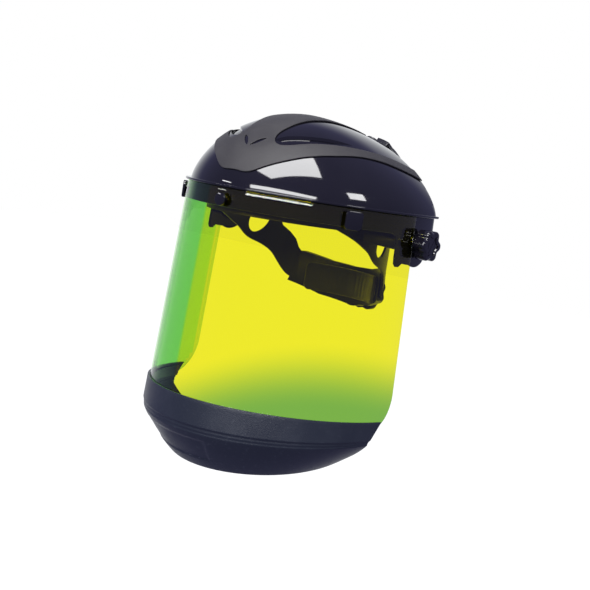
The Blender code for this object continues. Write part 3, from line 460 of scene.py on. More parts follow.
# %% Make the guard navy
guard_navy = Finish("guard_navy", IOR=1.47)
grain = guard_navy.cells(1100.0)
low_down = guard_navy.part(guard_navy.place(), 2).between(-0.19, -0.24)
haze = guard_navy.noise(22.0, 5.0).between(0.35, 0.8)
scuffs = guard_navy.noise(260.0, 3.0).between(0.60, 0.72) * (low_down * 0.6 + 0.15)
guard_navy.feed(
    Base_Color=guard_navy.blend(
        scuffs, guard_navy.blend(haze, (0.0075, 0.0100, 0.0160), (0.0110, 0.0140, 0.0210)),
        (0.040, 0.046, 0.058),
    ),
    Roughness=haze * 0.10 + scuffs * 0.2 + 0.36,
)
guard_navy.bump(grain, 0.30, 0.0003)

# %% [markdown]
# ## Band black
#
# The headgear's straps, sleeve and arms are satin black nylon, flexible and a little waxy.
# Flow lines from the mould run along each strap, and the surface has a fine orange peel.

# %% Make the band black
band_black = Finish("band_black", IOR=1.48)
flow = band_black.noise(60.0, 3.0, 0.6)
peel = band_black.noise(700.0, 2.0)
band_black.feed(
    Base_Color=band_black.blend(
        flow.between(0.35, 0.7), (0.0050, 0.0050, 0.0070), (0.0085, 0.0085, 0.0120)
    ),
    Roughness=flow * 0.12 + 0.34,
)
band_black.bump(peel, 0.22, 0.0003)

# %% [markdown]
# ## Pad fabric
#
# The sweatband and the nape pad have a knitted cover. A knit is rows of small loops, which
# two crossed waves imitate well enough at this size: one for the rows, one for the columns,
# with every second row shifted. Fibres catch light at the edges, so the cloth has sheen,
# and the cover is a little faded where it is rubbed.

# %% Make the pad fabric
LOOP_HEIGHT, LOOP_WIDTH = 0.0011, 0.0013
BAND_CENTRE_Y = -0.030
BAND_ROUND = 0.095
pad_fabric = Finish("pad_fabric", Sheen_Weight=0.45, Sheen_Roughness=0.4, IOR=1.4)
place = pad_fabric.place()
around = pad_fabric.node("ShaderNodeMath", {"operation": "ARCTAN2"}, {
    0: pad_fabric.part(place, 0), 1: pad_fabric.part(place, 1) - BAND_CENTRE_Y,
})
rows = (pad_fabric.part(place, 2) * (2 * math.pi / LOOP_HEIGHT)).sine()
columns = (around * (BAND_ROUND * 2 * math.pi / LOOP_WIDTH) + rows * 0.8).sine()
loops = (rows * columns) * 0.5 + 0.5
fade = pad_fabric.noise(45.0, 4.0).between(0.4, 0.8)
pad_fabric.feed(
    Base_Color=pad_fabric.blend(
        loops, (0.009, 0.009, 0.011),
        pad_fabric.blend(fade, (0.018, 0.018, 0.022), (0.027, 0.027, 0.031)),
    ),
    Roughness=loops * -0.08 + 0.94,
)
pad_fabric.bump(loops + pad_fabric.noise(1500.0) * 0.3, 0.6, 0.0005)

# %% [markdown]
# ## Plated steel
#
# Bolts, washers and the spindle screw are zinc-plated steel. The plating is bright with a
# slightly cloudy crystal pattern, and turning marks ring each washer.

# %% Make the plated steel
steel = Finish("plated_steel", Metallic=1.0)
crystals = steel.cells(650.0)
tarnish = steel.noise(140.0, 4.0).between(0.4, 0.75)
steel.feed(
    Base_Color=steel.blend(tarnish, (0.60, 0.60, 0.62), (0.44, 0.43, 0.42)),
    Roughness=tarnish * 0.14 + crystals * 0.08 + 0.20,
)
steel.bump(steel.noise(500.0), 0.12, 0.0002)

# %% [markdown]
# ## Tinted window
#
# The window is a clear sheet with a yellow tint. The tint turns green where the sheet is seen at a
# slant, sooner towards the wearer's right. Near its foot a painted shade, drawn along a bow, makes
# it darker and greener. A refracting glass would need many light bounces for a sheet this thin and
# would shade the head inside. A Transparent shader passes light straight through, in one colour.
# There is one for each tint and one for the painted shade, and Mix Shaders blend them and lay a
# little gloss over them by the Fresnel law, as on real polycarbonate. The gloss is left off the
# faces that light leaves by.

# %% Make the window's tint
# Light crosses two faces of the sheet, so each face passes the root of its colour.
YELLOW = (0.918, 0.895, 0.110)
GREEN = (0.62, 0.877, 0.50)
# The next colour is painted shade: a darker green that the sheet passes towards its foot.
FOOT_SHADE = (0.43, 0.65, 0.225)
BOW_HEADING = (0.795, 0.607)
BOW_DEPTH, BOW_TILT = 2.42, 0.178
FOOT_SHADE_STARTS, FOOT_SHADE_FULL = -0.100, -0.164
RIGHT_STARTS, RIGHT_FULL, RIGHT_SHARE = 0.07, -0.06, 0.27
SLANT_STARTS, SLANT_FULL = 0.61, 0.65
window_tint = Finish("window_tint", Roughness=0.03, Metallic=1.0)
window_tint.shader.inputs["Base Color"].default_value = (0.9, 0.9, 0.9, 1.0)


def clear_sheet(colour):
    sockets = {"Color": window_tint.colour(colour)}
    return window_tint.node("ShaderNodeBsdfTransparent", None, sockets)


def mixed(share, first, second):
    return window_tint.node("ShaderNodeMixShader", None, {0: share, 1: first, 2: second})


facing = window_tint.node("ShaderNodeLayerWeight", None, {"Blend": 0.5}, 1)
across, forward, height = (window_tint.part(window_tint.place(), axis) for axis in range(3))
right_side = across.between(RIGHT_STARTS, RIGHT_FULL)
edge_on = (facing + right_side * RIGHT_SHARE).between(SLANT_STARTS, SLANT_FULL)
# The painted shade at the foot starts along a bow, which the distance along its heading bends.
bow = across * BOW_HEADING[0] + forward * BOW_HEADING[1]
foot = (height + bow * (bow * BOW_DEPTH - BOW_TILT)).between(FOOT_SHADE_STARTS, FOOT_SHADE_FULL)
clear = mixed(edge_on, clear_sheet(YELLOW), clear_sheet(GREEN))
# Towards the foot this mixes in the painted shade.
clear = mixed(foot, clear, clear_sheet(FOOT_SHADE))
inner_face = window_tint.node("ShaderNodeNewGeometry", output="Backfacing")
share = window_tint.node("ShaderNodeFresnel", None, {"IOR": 1.5}) * (1 - inner_face)
surface = mixed(share, clear, Field(window_tint, window_tint.shader.outputs[0]))
window_tint.tree.links.new(surface.socket, window_tint.output.inputs["Surface"])
print("the sheet passes", [round(x * x, 3) for x in YELLOW], "when seen face on")

FINISHES = {
    "gloss_black": gloss_black,
    "panel_grey": cover_grey,
    "window_tint": window_tint,
    "guard_navy": guard_navy,
    "band_black": band_black,
    "pad_fabric": pad_fabric,
    "steel": steel,
}

# %% [markdown]
# ## Hanging a piece on its body
#
# A finished shape becomes an object at the origin and gets the finish that its slot names. It
# is hung on the body it rides on, and the model's node that it stands for is hidden. Smooth
# shading is kept off edges that are really sharp.

# %% A helper that finishes a piece
def finish_piece(name, shape, body, slot, stands_for=(), sharp=40):
    mesh = bpy.data.meshes.new(name)
    shape.to_mesh(mesh)
    shape.free()
    piece = bpy.data.objects.new(name, mesh)
    bpy.context.scene.collection.objects.link(piece)
    mesh.materials.append(FINISHES[slot].material)
    mesh.shade_smooth()
    mesh.set_sharp_from_angle(angle=math.radians(sharp))
    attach(piece, body)
    if stands_for:
        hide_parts(*([stands_for] if isinstance(stands_for, str) else stands_for))
    print(f"{name}: {len(mesh.polygons)} faces, rides on {body}")
    return piece


def carve(piece, cutter):
    """Cuts a shape out of a piece for good, and throws the cutter away."""
    mesh = bpy.data.meshes.new("cutter")
    cutter.to_mesh(mesh)
    cutter.free()
    tool = bpy.data.objects.new("cutter", mesh)
    bpy.context.scene.collection.objects.link(tool)
    modifier = piece.modifiers.new("cut", "BOOLEAN")
    modifier.object, modifier.operation = tool, "DIFFERENCE"
    settle(piece)
    bpy.data.objects.remove(tool)


def settle(piece):
    """Applies a piece's modifiers to its mesh."""
    graph = bpy.context.evaluated_depsgraph_get()
    done = bpy.data.meshes.new_from_object(piece.evaluated_get(graph))
    piece.modifiers.clear()
    piece.data = done


def wall(piece, thickness, offset=-1.0, rounding=0.0):
    """Gives a single-walled piece its thickness, and rounds its free edges."""
    modifier = piece.modifiers.new("wall", "SOLIDIFY")
    modifier.thickness, modifier.offset, modifier.use_even_offset = thickness, offset, True
    if rounding:
        modifier = piece.modifiers.new("rounded", "BEVEL")
        modifier.width, modifier.segments, modifier.limit_method = rounding, 3, "ANGLE"
        modifier.angle_limit = math.radians(60)
    settle(piece)


# %% [markdown]
# ## The crown's dome
#
# The dome is a thin shell, open at the rear where an arch slopes up over the head. It is
# a grid laid over the dome's curve, knife-cut along the arch's plane. The wall goes on
# last, with a rounding that catches a line of light along the arch.

# %% Shape the dome
dome = curved_grid(steps(-math.pi, math.pi, 168), steps(0.0, 1.0, 44), dome_point)
slope = Vector((0.0, ARCH_TOP_Y - RIM_REAR_Y, DOME_HEIGHT))
ARCH_POINT = Vector((0.0, RIM_REAR_Y, RIM_LEVEL))
ARCH_NORMAL = slope.cross(Vector((1.0, 0.0, 0.0)))
bmesh.ops.bisect_plane(
    dome, geom=dome.verts[:] + dome.edges[:] + dome.faces[:],
    plane_co=ARCH_POINT, plane_no=ARCH_NORMAL, clear_outer=True,
)
face_out(dome, (0.0, -0.04, 0.02))
DOME_WALL = 0.0025
crown_dome = finish_piece("crown_dome", dome, "face_guard", "gloss_black", "crown_shell")
wall(crown_dome, DOME_WALL, rounding=0.0008)

# %% [markdown]
# Each side of the dome has a long vent just above the cover's wing. On the real shield it
# is a drop-shaped slot, widest in the middle, so its outline is a soft curve through a
# spine of points, with a half width that swells and dies away. The cutter is that outline
# pulled straight up through the shell.

# %% Cut the two vents
VENT_SPINE = [
    (0.0215, -0.1155), (0.029, -0.1105), (0.038, -0.1035),
    (0.049, -0.0915), (0.059, -0.0765), (0.067, -0.0615),
]
VENT_HALF = (0.0006, 0.0034, 0.0042, 0.0038, 0.0028, 0.0006)
VENT_ACROSS = (0.8, -0.6)
CUT_LOW, CUT_LENGTH = 0.05, 0.08


def vent_outline(side, grow=0.0):
    edges = []
    for sign in (1, -1):
        reaches = [sign * (half + grow) for half in VENT_HALF]
        edges.append([
            (x + VENT_ACROSS[0] * reach, y + VENT_ACROSS[1] * reach)
            for (x, y), reach in zip(VENT_SPINE, reaches)
        ])
    return [(side * x, y) for x, y in soft_outline(edges[0] + edges[1][::-1], count=4)]


for side in (1, -1):
    cutter = slab([vent_outline(side)], CUT_LENGTH, rounding=0.0, cell=1.0)
    bmesh.ops.translate(cutter, verts=cutter.verts[:], vec=(0.0, 0.0, CUT_LOW))
    carve(crown_dome, cutter)
crown_dome.data.shade_smooth()
crown_dome.data.set_sharp_from_angle(angle=math.radians(40))

# %% [markdown]
# Behind each vent a thin tray keeps spatter out. It lies just inside the dome, so it is
# the vent's outline grown a little and bent to the same curve, lower by the shell's wall.

# %% Shape the trays behind the vents
TRAY_WALL = 0.0012
TRAY_MARGIN = 0.002
for side, name in ((1, "left"), (-1, "right")):
    tray = slab([vent_outline(side, TRAY_MARGIN)], TRAY_WALL, rounding=0.0003, cell=0.004)
    tray = bend(tray, on_dome, -DOME_WALL - GAP - TRAY_WALL)
    finish_piece(f"vent_tray_{name}", tray, "face_guard", "gloss_black", f"vent_baffle_{name}")

# %% [markdown]
# ## The rim and the skirt
#
# A thin flange runs round the dome's foot and stands proud of the window. Below it the
# skirt hangs inside the window's top edge, and drops at each temple into an ear that
# carries the pivot. Both are moulded sheets: the flange lies flat, with the distance from
# the plan curve as its second number, and the skirt stands up, with the level as its
# second number. The first number is the angle times a radius, so that roundings keep
# their shape.

# %% Shape the flange
ROUND = 0.13
REAR_ANGLE = plan_angle(RIM_REAR_Y)


def flange_surface(u, v):
    angle = u / ROUND
    return plan_point(angle, WINDOW_HALF_WIDTH + v, WINDOW_FRONT + v, RIM_LEVEL)


FLANGE_WALL = 0.0024
FLANGE_INNER, FLANGE_OUTER = -0.0045, 0.003
end = REAR_ANGLE * ROUND
flange = slab(
    [[(-end, FLANGE_INNER), (end, FLANGE_INNER), (end, FLANGE_OUTER), (-end, FLANGE_OUTER)]],
    FLANGE_WALL, rounding=0.0009, cell=0.004,
)
flange = bend(flange, flange_surface, -FLANGE_WALL / 2)
finish_piece("crown_flange", flange, "face_guard", "gloss_black")

# %% Shape the skirt and its ears
SKIRT_GROW = -WINDOW_WALL - GAP
SKIRT_WALL = 0.0025
SKIRT_DEPTH = 0.0192
EAR_RADIUS = 0.023
PIVOT_BORE = 0.0033


def skirt_surface(u, v):
    return window_point(u / ROUND, v, SKIRT_GROW)


def skirt_u(y):
    return plan_angle(y) * ROUND


skirt_foot = RIM_LEVEL - SKIRT_DEPTH
ear_round = [
    (EAR_RADIUS * math.sin(a), -EAR_RADIUS * math.cos(a))
    for a in steps(math.radians(-46), math.radians(84), 22)
]
ear_front = [
    (-0.041, skirt_foot), (-0.0345, skirt_foot - 0.002), (-0.033, skirt_foot - 0.006),
    (-0.033, -0.0150), (-0.0325, -0.021), (-0.030, -0.0238), (-0.026, -0.0238), (-0.0215, -0.0205),
]
ear_rear = [(RIM_REAR_Y, 0.008), (RIM_REAR_Y, RIM_LEVEL)]
ear = ear_front + ear_round[4:] + ear_rear
half = [(0.0, skirt_foot)] + [(skirt_u(y), z) for y, z in ear] + [(0.0, RIM_LEVEL)]
bore = ellipse(skirt_u(0.0), 0.0, PIVOT_BORE, PIVOT_BORE, 24)
holes = [bore, [(-x, y) for x, y in bore]]
skirt = slab([mirrored(half)] + holes, SKIRT_WALL, rounding=0.0007, cell=0.004)
skirt = bend(skirt, skirt_surface, -SKIRT_WALL)
finish_piece("crown_skirt", skirt, "face_guard", "gloss_black")

# %% [markdown]
# ## The pivot bosses
#
# A round boss on each ear takes the tilt pivot. It is a short turned shape: a closed
# profile of its radius along the axis, spun a full turn about X, so its bore comes with it.

# %% Spin the bosses
BOSS_INNER, BOSS_OUTER, BOSS_RADIUS = 0.1150, 0.1215, 0.0095
BOSS_ROUNDING = 0.0006


def turned(profile, segments=64):
    """profile is a closed line of (distance along X, radius)."""
    shape = bmesh.new()
    line = [shape.verts.new((radius, 0.0, along)) for along, radius in profile]
    edges = [shape.edges.new(pair) for pair in zip(line, line[1:])]
    bmesh.ops.spin(
        shape, geom=line + edges, cent=(0, 0, 0), axis=(0, 0, 1),
        angle=2 * math.pi, steps=segments, use_merge=True,
    )
    bmesh.ops.remove_doubles(shape, verts=shape.verts[:], dist=1e-6)
    bmesh.ops.holes_fill(shape, edges=shape.edges[:], sides=0)
    turn = Matrix.Rotation(math.pi / 2, 4, "Y")
    bmesh.ops.transform(shape, matrix=turn, verts=shape.verts[:])
    bmesh.ops.recalc_face_normals(shape, faces=shape.faces[:])
    return shape


BOSS_PROFILE = [
    (BOSS_INNER, PIVOT_BORE), (BOSS_INNER, BOSS_RADIUS), (BOSS_OUTER - BOSS_ROUNDING, BOSS_RADIUS),
    (BOSS_OUTER, BOSS_RADIUS - BOSS_ROUNDING), (BOSS_OUTER, PIVOT_BORE), (BOSS_INNER, PIVOT_BORE),
]
for side, name in ((1, "left"), (-1, "right")):
    boss = turned([(side * along, radius) for along, radius in BOSS_PROFILE])
    finish_piece(f"pivot_boss_{name}", boss, "face_guard", "gloss_black")

# %% [markdown]
# ## The cover panel
#
# The grey cover lies on the dome like a three-fingered hand: a round lobe at the front, a
# spine over the top, and a wing sweeping back along each side. It is drawn in plan, given
# its wall and a soft rim, and then laid on the dome, which turns its flat fingers into
# curved ones. Where it runs past the arch it is knife-cut by the same plane.

# %% Draw the cover in plan
wing_outer = [
    (0.0, -0.1413), (0.012, -0.1408), (0.022, -0.1378), (0.034, -0.1305), (0.045, -0.1215),
    (0.055, -0.1105), (0.064, -0.0985), (0.0735, -0.082), (0.0825, -0.057), (0.089, -0.033),
    (0.0935, -0.008), (0.096, 0.022), (0.0965, 0.050),
]
wing_inner = [
    (0.0865, 0.050), (0.0860, 0.020), (0.0835, -0.010), (0.0785, -0.040), (0.0715, -0.0625),
    (0.0615, -0.0825), (0.0510, -0.0975), (0.0420, -0.1085), (0.0345, -0.1150), (0.0275, -0.1180),
    (0.0215, -0.1160),
]
spine = [
    (0.0190, -0.1085), (0.0205, -0.0950), (0.0230, -0.0720), (0.0260, -0.0450), (0.0265, 0.050),
]
outer_line = soft_outline(wing_outer, closed=False, count=4)
inner_line = soft_outline(wing_inner + spine, closed=False, count=4)
SLIT = soft_outline([
    (0.0015, -0.1268), (0.0055, -0.1252), (0.0098, -0.1220), (0.0130, -0.1175),
    (0.0085, -0.1196), (0.0045, -0.1230),
], count=4)
PANEL_WALL = 0.0012
RECESS = 0.0007
RECESS_Y, RECESS_HALF_WIDTH, RECESS_HALF_LENGTH = -0.1165, 0.020, 0.0105
RECESS_EDGE, RECESS_FADE = 1.15, 0.3
COVER_SETBACK = 0.0006

edge = mirrored(outer_line + inner_line)
slits = [SLIT, [(-x, y) for x, y in SLIT]]
panel = slab([edge] + slits, PANEL_WALL, rounding=0.0004, cell=0.0025)
for vert in panel.verts:
    across, along = vert.co.x / RECESS_HALF_WIDTH, (vert.co.y - RECESS_Y) / RECESS_HALF_LENGTH
    within = (RECESS_EDGE - across**2 - along**2) / RECESS_FADE
    if vert.co.z > PANEL_WALL / 2:
        vert.co.z -= RECESS * min(max(within, 0.0), 1.0)
panel = bend(panel, on_dome, GAP)
bmesh.ops.bisect_plane(
    panel, geom=panel.verts[:] + panel.edges[:] + panel.faces[:],
    plane_co=ARCH_POINT - Vector((0.0, COVER_SETBACK, 0.0)), plane_no=ARCH_NORMAL, clear_outer=True,
)
bmesh.ops.holes_fill(panel, edges=panel.edges[:], sides=0)
finish_piece("crown_panel_cover", panel, "face_guard", "panel_grey", "crown_panel")

# %% [markdown]
# ## The window
#
# The window is one sheet wrapped round the front and both sides, with its two lower rear
# corners rounded and small holes for the latches near the top.

# %% Shape the window
WINDOW_TOP = RIM_LEVEL - 0.0015
WINDOW_FOOT = RIM_LEVEL - 0.2075
WINDOW_ROUND = 0.145
CORNER = 0.035
LATCH_ANGLE = math.radians(57)
LATCH_LEVEL = 0.014
SIDE_HOLE, FRONT_HOLE = 0.0050, 0.0040
side_end = math.radians(90.7) * WINDOW_ROUND


def window_surface(u, v):
    return window_point(u / WINDOW_ROUND, v)


corner = [
    (side_end - CORNER + CORNER * math.sin(a), WINDOW_FOOT + CORNER - CORNER * math.cos(a))
    for a in steps(0.0, math.pi / 2, 16)
]
half = [(0.0, WINDOW_FOOT)] + corner + [(side_end, WINDOW_TOP), (0.0, WINDOW_TOP)]
latch_u = LATCH_ANGLE * WINDOW_ROUND
square = [
    (latch_u + x * SIDE_HOLE, LATCH_LEVEL + y * SIDE_HOLE)
    for x, y in ((-1, -1), (1, -1), (1, 1), (-1, 1))
]
front_hole = ellipse(0.0, LATCH_LEVEL, FRONT_HOLE, FRONT_HOLE, 24)
holes = [square, [(-x, y) for x, y in square], front_hole]
window = slab([mirrored(half)] + holes, WINDOW_WALL, rounding=0.0004, cell=0.005, segments=2)
window = bend(window, window_surface, -WINDOW_WALL)
finish_piece("tinted_window", window, "face_guard", "window_tint", "visor_window")

# %% [markdown]
# ## The chin guard
#
# The guard is a bowl hung on the window's foot. Its upper band follows the window, a
# shallow groove runs under the band, and below it the bowl draws in under the chin. At
# the front the bowl carries a slightly sunken, rounded panel. A grid fine enough to hold
# the groove and that panel is laid over one function, and then given its wall.

# %% Shape the chin guard
GUARD_TOP = RIM_LEVEL - 0.1975
GUARD_WALL = 0.0022
GUARD_END = math.radians(84.5)
GUARD_SLANT = math.radians(5.5)
BAND_SIDE_DEPTH, BAND_FRONT_EXTRA = 0.018, 0.010
BOWL_SIDE_DEPTH, BOWL_FRONT_EXTRA = 0.019, 0.0516
BOWL_FULLNESS, BOWL_LEAST = 0.4, 0.002
BOWL_DRAW, DRAW_POWER = 0.035, 1.2
GROOVE_DEPTH = 0.0010
SUNK_DEPTH, SUNK_MIDDLE = 0.0012, -13


def smooth(value, low, high):
    t = min(max((value - low) / (high - low), 0.0), 1.0)
    return t * t * (3 - 2 * t)


def guard_surface(angle, row):
    """row runs 0 to 1 down the band and 1 to 2 down the bowl."""
    angle *= 1 - GUARD_SLANT / GUARD_END * min(row, 1.0)
    ahead = max(math.cos(angle), 0.0)
    band = BAND_SIDE_DEPTH + BAND_FRONT_EXTRA * ahead
    outside = GAP + GUARD_WALL
    if row <= 1:
        groove = -GROOVE_DEPTH * smooth(row, 0.86, 0.93)
        return window_point(angle, GUARD_TOP - band * row, outside + groove)
    share = row - 1
    depth = BOWL_SIDE_DEPTH + BOWL_FRONT_EXTRA * ahead**BOWL_FULLNESS
    level = GUARD_TOP - band - max(depth - band, BOWL_LEAST) * share
    drawn_in = BOWL_DRAW * (1 - (1 - share**DRAW_POWER) ** (1 / DRAW_POWER))
    groove = -GROOVE_DEPTH * (1 - smooth(share, 0.03, 0.09))
    across = smooth(abs(math.degrees(angle) - SUNK_MIDDLE), 25.0, 23.0)
    down = smooth(share, 0.20, 0.25) * smooth(share, 0.72, 0.67)
    sunk = -SUNK_DEPTH * across * down
    shoulder = window_point(angle, GUARD_TOP - band, outside - drawn_in + groove + sunk)
    return Vector((shoulder.x, shoulder.y, level))


guard_rows = steps(0.0, 0.8, 6) + steps(0.84, 1.0, 8)
guard_rows += steps(1.015, 1.12, 7) + steps(1.14, 1.93, 40)
guard = curved_grid(steps(-GUARD_END, GUARD_END, 200), guard_rows, guard_surface)
face_out(guard, (0.0, -0.03, -0.19))
chin_bowl = finish_piece("chin_bowl", guard, "face_guard", "guard_navy", "chin_guard")
wall(chin_bowl, GUARD_WALL, rounding=0.0007)

# %% [markdown]
# Inside the window the guard has a lip, joined to the bowl by a shelf under the window's
# foot, so that the sheet sits in a channel.

# %% Shape the lip and its shelf
FOOT_U = (GUARD_END - GUARD_SLANT) * WINDOW_ROUND
SHELF_LEVEL = WINDOW_FOOT - GAP
LIP_RISE = 0.008
SHELF_INNER, SHELF_OUTER = -0.0040, 0.0012


def lip_surface(u, v):
    return window_point(u / WINDOW_ROUND, v, SKIRT_GROW)


def shelf_surface(u, v):
    return window_point(u / WINDOW_ROUND, SHELF_LEVEL, v)


def foot_strip(low, high, rounding, surface):
    """A strip along the window's foot, bent to a surface whose second number is v."""
    outline = [(-FOOT_U, low), (FOOT_U, low), (FOOT_U, high), (-FOOT_U, high)]
    return bend(slab([outline], GUARD_WALL, rounding, cell=0.005), surface, -GUARD_WALL)


lip = foot_strip(SHELF_LEVEL - GUARD_WALL, SHELF_LEVEL + LIP_RISE, 0.0006, lip_surface)
finish_piece("guard_lip", lip, "face_guard", "guard_navy")
shelf = foot_strip(SHELF_INNER, SHELF_OUTER, 0.0, shelf_surface)
finish_piece("guard_shelf", shelf, "face_guard", "guard_navy")

# %% [markdown]
# ## Pieces refined from the model
#
# The small mechanical pieces already have the right shape in the model, but their edges
# are knife-sharp and their round sides are faceted. A copy of such a node is merged, flat
# faces are joined up again, and every hard edge gets a fine bevel, which is what makes a
# moulded or turned part catch the light.

# %% Refine a node
HARD_EDGE = math.radians(35)


def refined(node, body, slot, rounding):
    shape = bmesh.new()
    shape.from_mesh(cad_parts[node].data)
    bmesh.ops.remove_doubles(shape, verts=shape.verts[:], dist=2e-6)
    bmesh.ops.dissolve_limit(
        shape, angle_limit=math.radians(0.8), verts=shape.verts[:], edges=shape.edges[:]
    )
    if rounding:
        edges = [e for e in shape.edges if e.is_manifold and e.calc_face_angle(0.0) > HARD_EDGE]
        bmesh.ops.bevel(
            shape, geom=edges, offset=rounding, segments=2, profile=0.5,
            affect="EDGES", material=-1, clamp_overlap=True,
        )
    return finish_piece(f"{node}_fine", shape, body, slot, node, sharp=32)


REFINED = [
    ("nape_sleeve", "headgear", "band_black", 0.0006),
    ("ratchet_housing", "headgear", "band_black", 0.0006),
    ("ratchet_pinion", "ratchet_drive", "band_black", 0.0),
    ("ratchet_screw", "ratchet_drive", "steel", 0.0003),
    ("rack_left", "left_rack", "band_black", 0.0),
    ("rack_right", "right_rack", "band_black", 0.0),
]
for side in ("left", "right"):
    REFINED += [
        (f"latch_{side}", f"{side}_latch", "gloss_black", 0.0004),
        (f"knob_nut_{side}", f"{side}_tension_knob", "steel", 0.0003),
        (f"pivot_bracket_{side}", "headgear", "band_black", 0.0005),
        (f"pivot_bolt_{side}", "headgear", "steel", 0.0003),
        (f"pivot_washer_{side}", "headgear", "steel", 0.0002),
    ]
REFINED.append(("latch_front", "front_latch", "gloss_black", 0.0004))
for node, body, slot, rounding in REFINED:
    refined(node, body, slot, rounding)

# %% [markdown]
# ## Knobs
#
# Each pivot is clamped by a lobed knob, and a larger one behind the head winds the
# ratchet. A knob starts as a circle whose points are pushed in between the lobes. It is
# pulled out to its length, and its rim is bevelled generously. A second inset and push
# leaves a dished face.

# %% Shape a lobed knob
def lobed_knob(radius, lobes, dip, length, rounding, dish):
    """A knob that stands on z = 0 and faces +Z."""
    shape = bmesh.new()
    bmesh.ops.create_circle(shape, cap_ends=True, segments=lobes * 16, radius=radius)
    for vert in shape.verts:
        turn = math.atan2(vert.co.y, vert.co.x)
        vert.co *= 1 - dip / radius * (0.5 + 0.5 * math.cos(lobes * turn)) ** 1.5
    face = shape.faces[:]
    pulled = bmesh.ops.extrude_face_region(shape, geom=face)["geom"]
    moved = [item for item in pulled if isinstance(item, bmesh.types.BMVert)]
    bmesh.ops.translate(shape, verts=moved, vec=(0.0, 0.0, length))
    bmesh.ops.recalc_face_normals(shape, faces=shape.faces[:])
    rims = [e for e in shape.edges if abs(e.verts[0].co.z - e.verts[1].co.z) < 1e-7]
    bmesh.ops.bevel(
        shape, geom=rims, offset=rounding, segments=4, profile=0.5,
        affect="EDGES", material=-1, clamp_overlap=True,
    )
    front = max(shape.faces, key=lambda f: f.calc_center_median().z)
    bmesh.ops.inset_region(shape, faces=[front], thickness=radius * 0.16, use_even_offset=True)
    bmesh.ops.inset_region(shape, faces=[front], thickness=0.0005, depth=-dish)
    return shape


WASHER_WALL = 0.0012
KNOB_LOW = BOSS_OUTER + GAP + WASHER_WALL + GAP
for side, name in ((1, "left"), (-1, "right")):
    knob = lobed_knob(
        radius=0.0155, lobes=6, dip=0.0032, length=0.0135, rounding=0.0020, dish=0.0012
    )
    turn = Matrix.Rotation(side * math.pi / 2, 4, "Y")
    place = Matrix.Translation((side * KNOB_LOW, 0.0, 0.0)) @ turn
    bmesh.ops.transform(knob, matrix=place, verts=knob.verts[:])
    node = f"tension_knob_{name}"
    finish_piece(f"{node}_fine", knob, f"{name}_tension_knob", "gloss_black", node)

knob_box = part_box("ratchet_knob")
ratchet_centre = (knob_box[0] + knob_box[1]) / 2
knob = lobed_knob(radius=0.0215, lobes=8, dip=0.0022, length=0.010, rounding=0.0016, dish=0.0010)
turn = Matrix.Rotation(-math.pi / 2, 4, "X")
place = Matrix.Translation((0.0, knob_box[0].y, ratchet_centre.z)) @ turn
bmesh.ops.transform(knob, matrix=place, verts=knob.verts[:])
finish_piece("ratchet_knob_fine", knob, "ratchet_drive", "gloss_black", "ratchet_knob")

# %% [markdown]
# ## The headband
#
# One strip of nylon rings the head. Its brow part is hidden behind the crown's skirt, its
# arms widen at the temples round a leaning, egg-shaped opening, and a narrow neck drops
# on each side to the tails that run into the sleeve. Seen from the side it is one outline,
# so it is drawn that way and wrapped round an ellipse.

# %% Shape the headband
BAND_HALF_WIDTH, BAND_HALF_LENGTH = 0.084, 0.106
BAND_WALL = 0.0022
BROW_LOW, BROW_HIGH = 0.002, 0.030
OPENING_Y, OPENING_LEVEL = 0.0015, -0.0065
OPENING_LENGTH, OPENING_WIDTH = 0.016, 0.0115


def band_surface(u, v):
    angle = u / BAND_ROUND
    y = BAND_CENTRE_Y - BAND_HALF_LENGTH * math.cos(angle)
    return Vector((BAND_HALF_WIDTH * math.sin(angle), y, v))


def band_u(y):
    return math.acos((BAND_CENTRE_Y - y) / BAND_HALF_LENGTH) * BAND_ROUND


def tail_u(x):
    return (math.pi - math.asin(x / BAND_HALF_WIDTH)) * BAND_ROUND


lower = [
    (-0.073, 0.002), (-0.050, -0.006), (-0.036, -0.012), (-0.025, -0.017), (-0.015, -0.024),
    (-0.007, -0.028), (0.0065, -0.032), (0.016, -0.036), (0.023, -0.041), (0.0295, -0.049),
    (0.035, -0.056), (0.040, -0.061), (0.046, -0.0645),
]
upper = [
    (0.0475, -0.031), (0.044, -0.0225), (0.038, -0.016), (0.0295, -0.010), (0.0265, -0.004),
    (0.0271, 0.0142), (0.0149, 0.0212), (0.006, 0.0205), (-0.010, 0.023), (-0.030, 0.027),
    (-0.060, 0.030),
]
lower = soft_outline(lower, closed=False, count=3)
half = [(0.0, BROW_LOW)] + [(band_u(y), z) for y, z in lower]
half += [(tail_u(0.0587), -0.0648), (tail_u(0.0582), -0.062), (tail_u(0.0445), -0.062)]
half += [(tail_u(0.0445), -0.047), (tail_u(0.0551), -0.047), (tail_u(0.0536), -0.0365)]
half += [(band_u(y), z) for y, z in upper] + [(0.0, BROW_HIGH)]
drop = ellipse(0.0, 0.0, OPENING_LENGTH, OPENING_WIDTH, 36, lean=math.radians(50))
drop = [(band_u(OPENING_Y + x), OPENING_LEVEL + y) for x, y in drop]
holes = [drop, [(-x, y) for x, y in drop]]
headband = slab([mirrored(half)] + holes, BAND_WALL, rounding=0.0006, cell=0.004)
headband = bend(headband, band_surface, -BAND_WALL)
finish_piece("headband_strip", headband, "headgear", "band_black", "headband")

# %% [markdown]
# ## The top strap
#
# Two straps rise from the temples and overlap at the top, where a peg through a row of
# holes sets their length. The row of holes is cut in the flat outline. These straps are
# soft: when the crown is tilted up its dome presses them down. Each strap, the flat loop
# and the peg are given a mesh of their own.

# %% Shape the top strap
STRAP_LEAN = math.radians(30)
STRAP_UP = Vector((0.0, math.sin(STRAP_LEAN), math.cos(STRAP_LEAN)))
STRAP_ROOT = Vector((0.0, 0.021, 0.018))
STRAP_ROUND = 0.084
STRAP_HALF_SPAN, STRAP_RISE, STRAP_FULLNESS = 0.07364, 0.0845, 0.87
STRAP_HALF_WIDTH, STRAP_WALL = 0.00625, 0.0018
PEG_HOLE = 0.0021


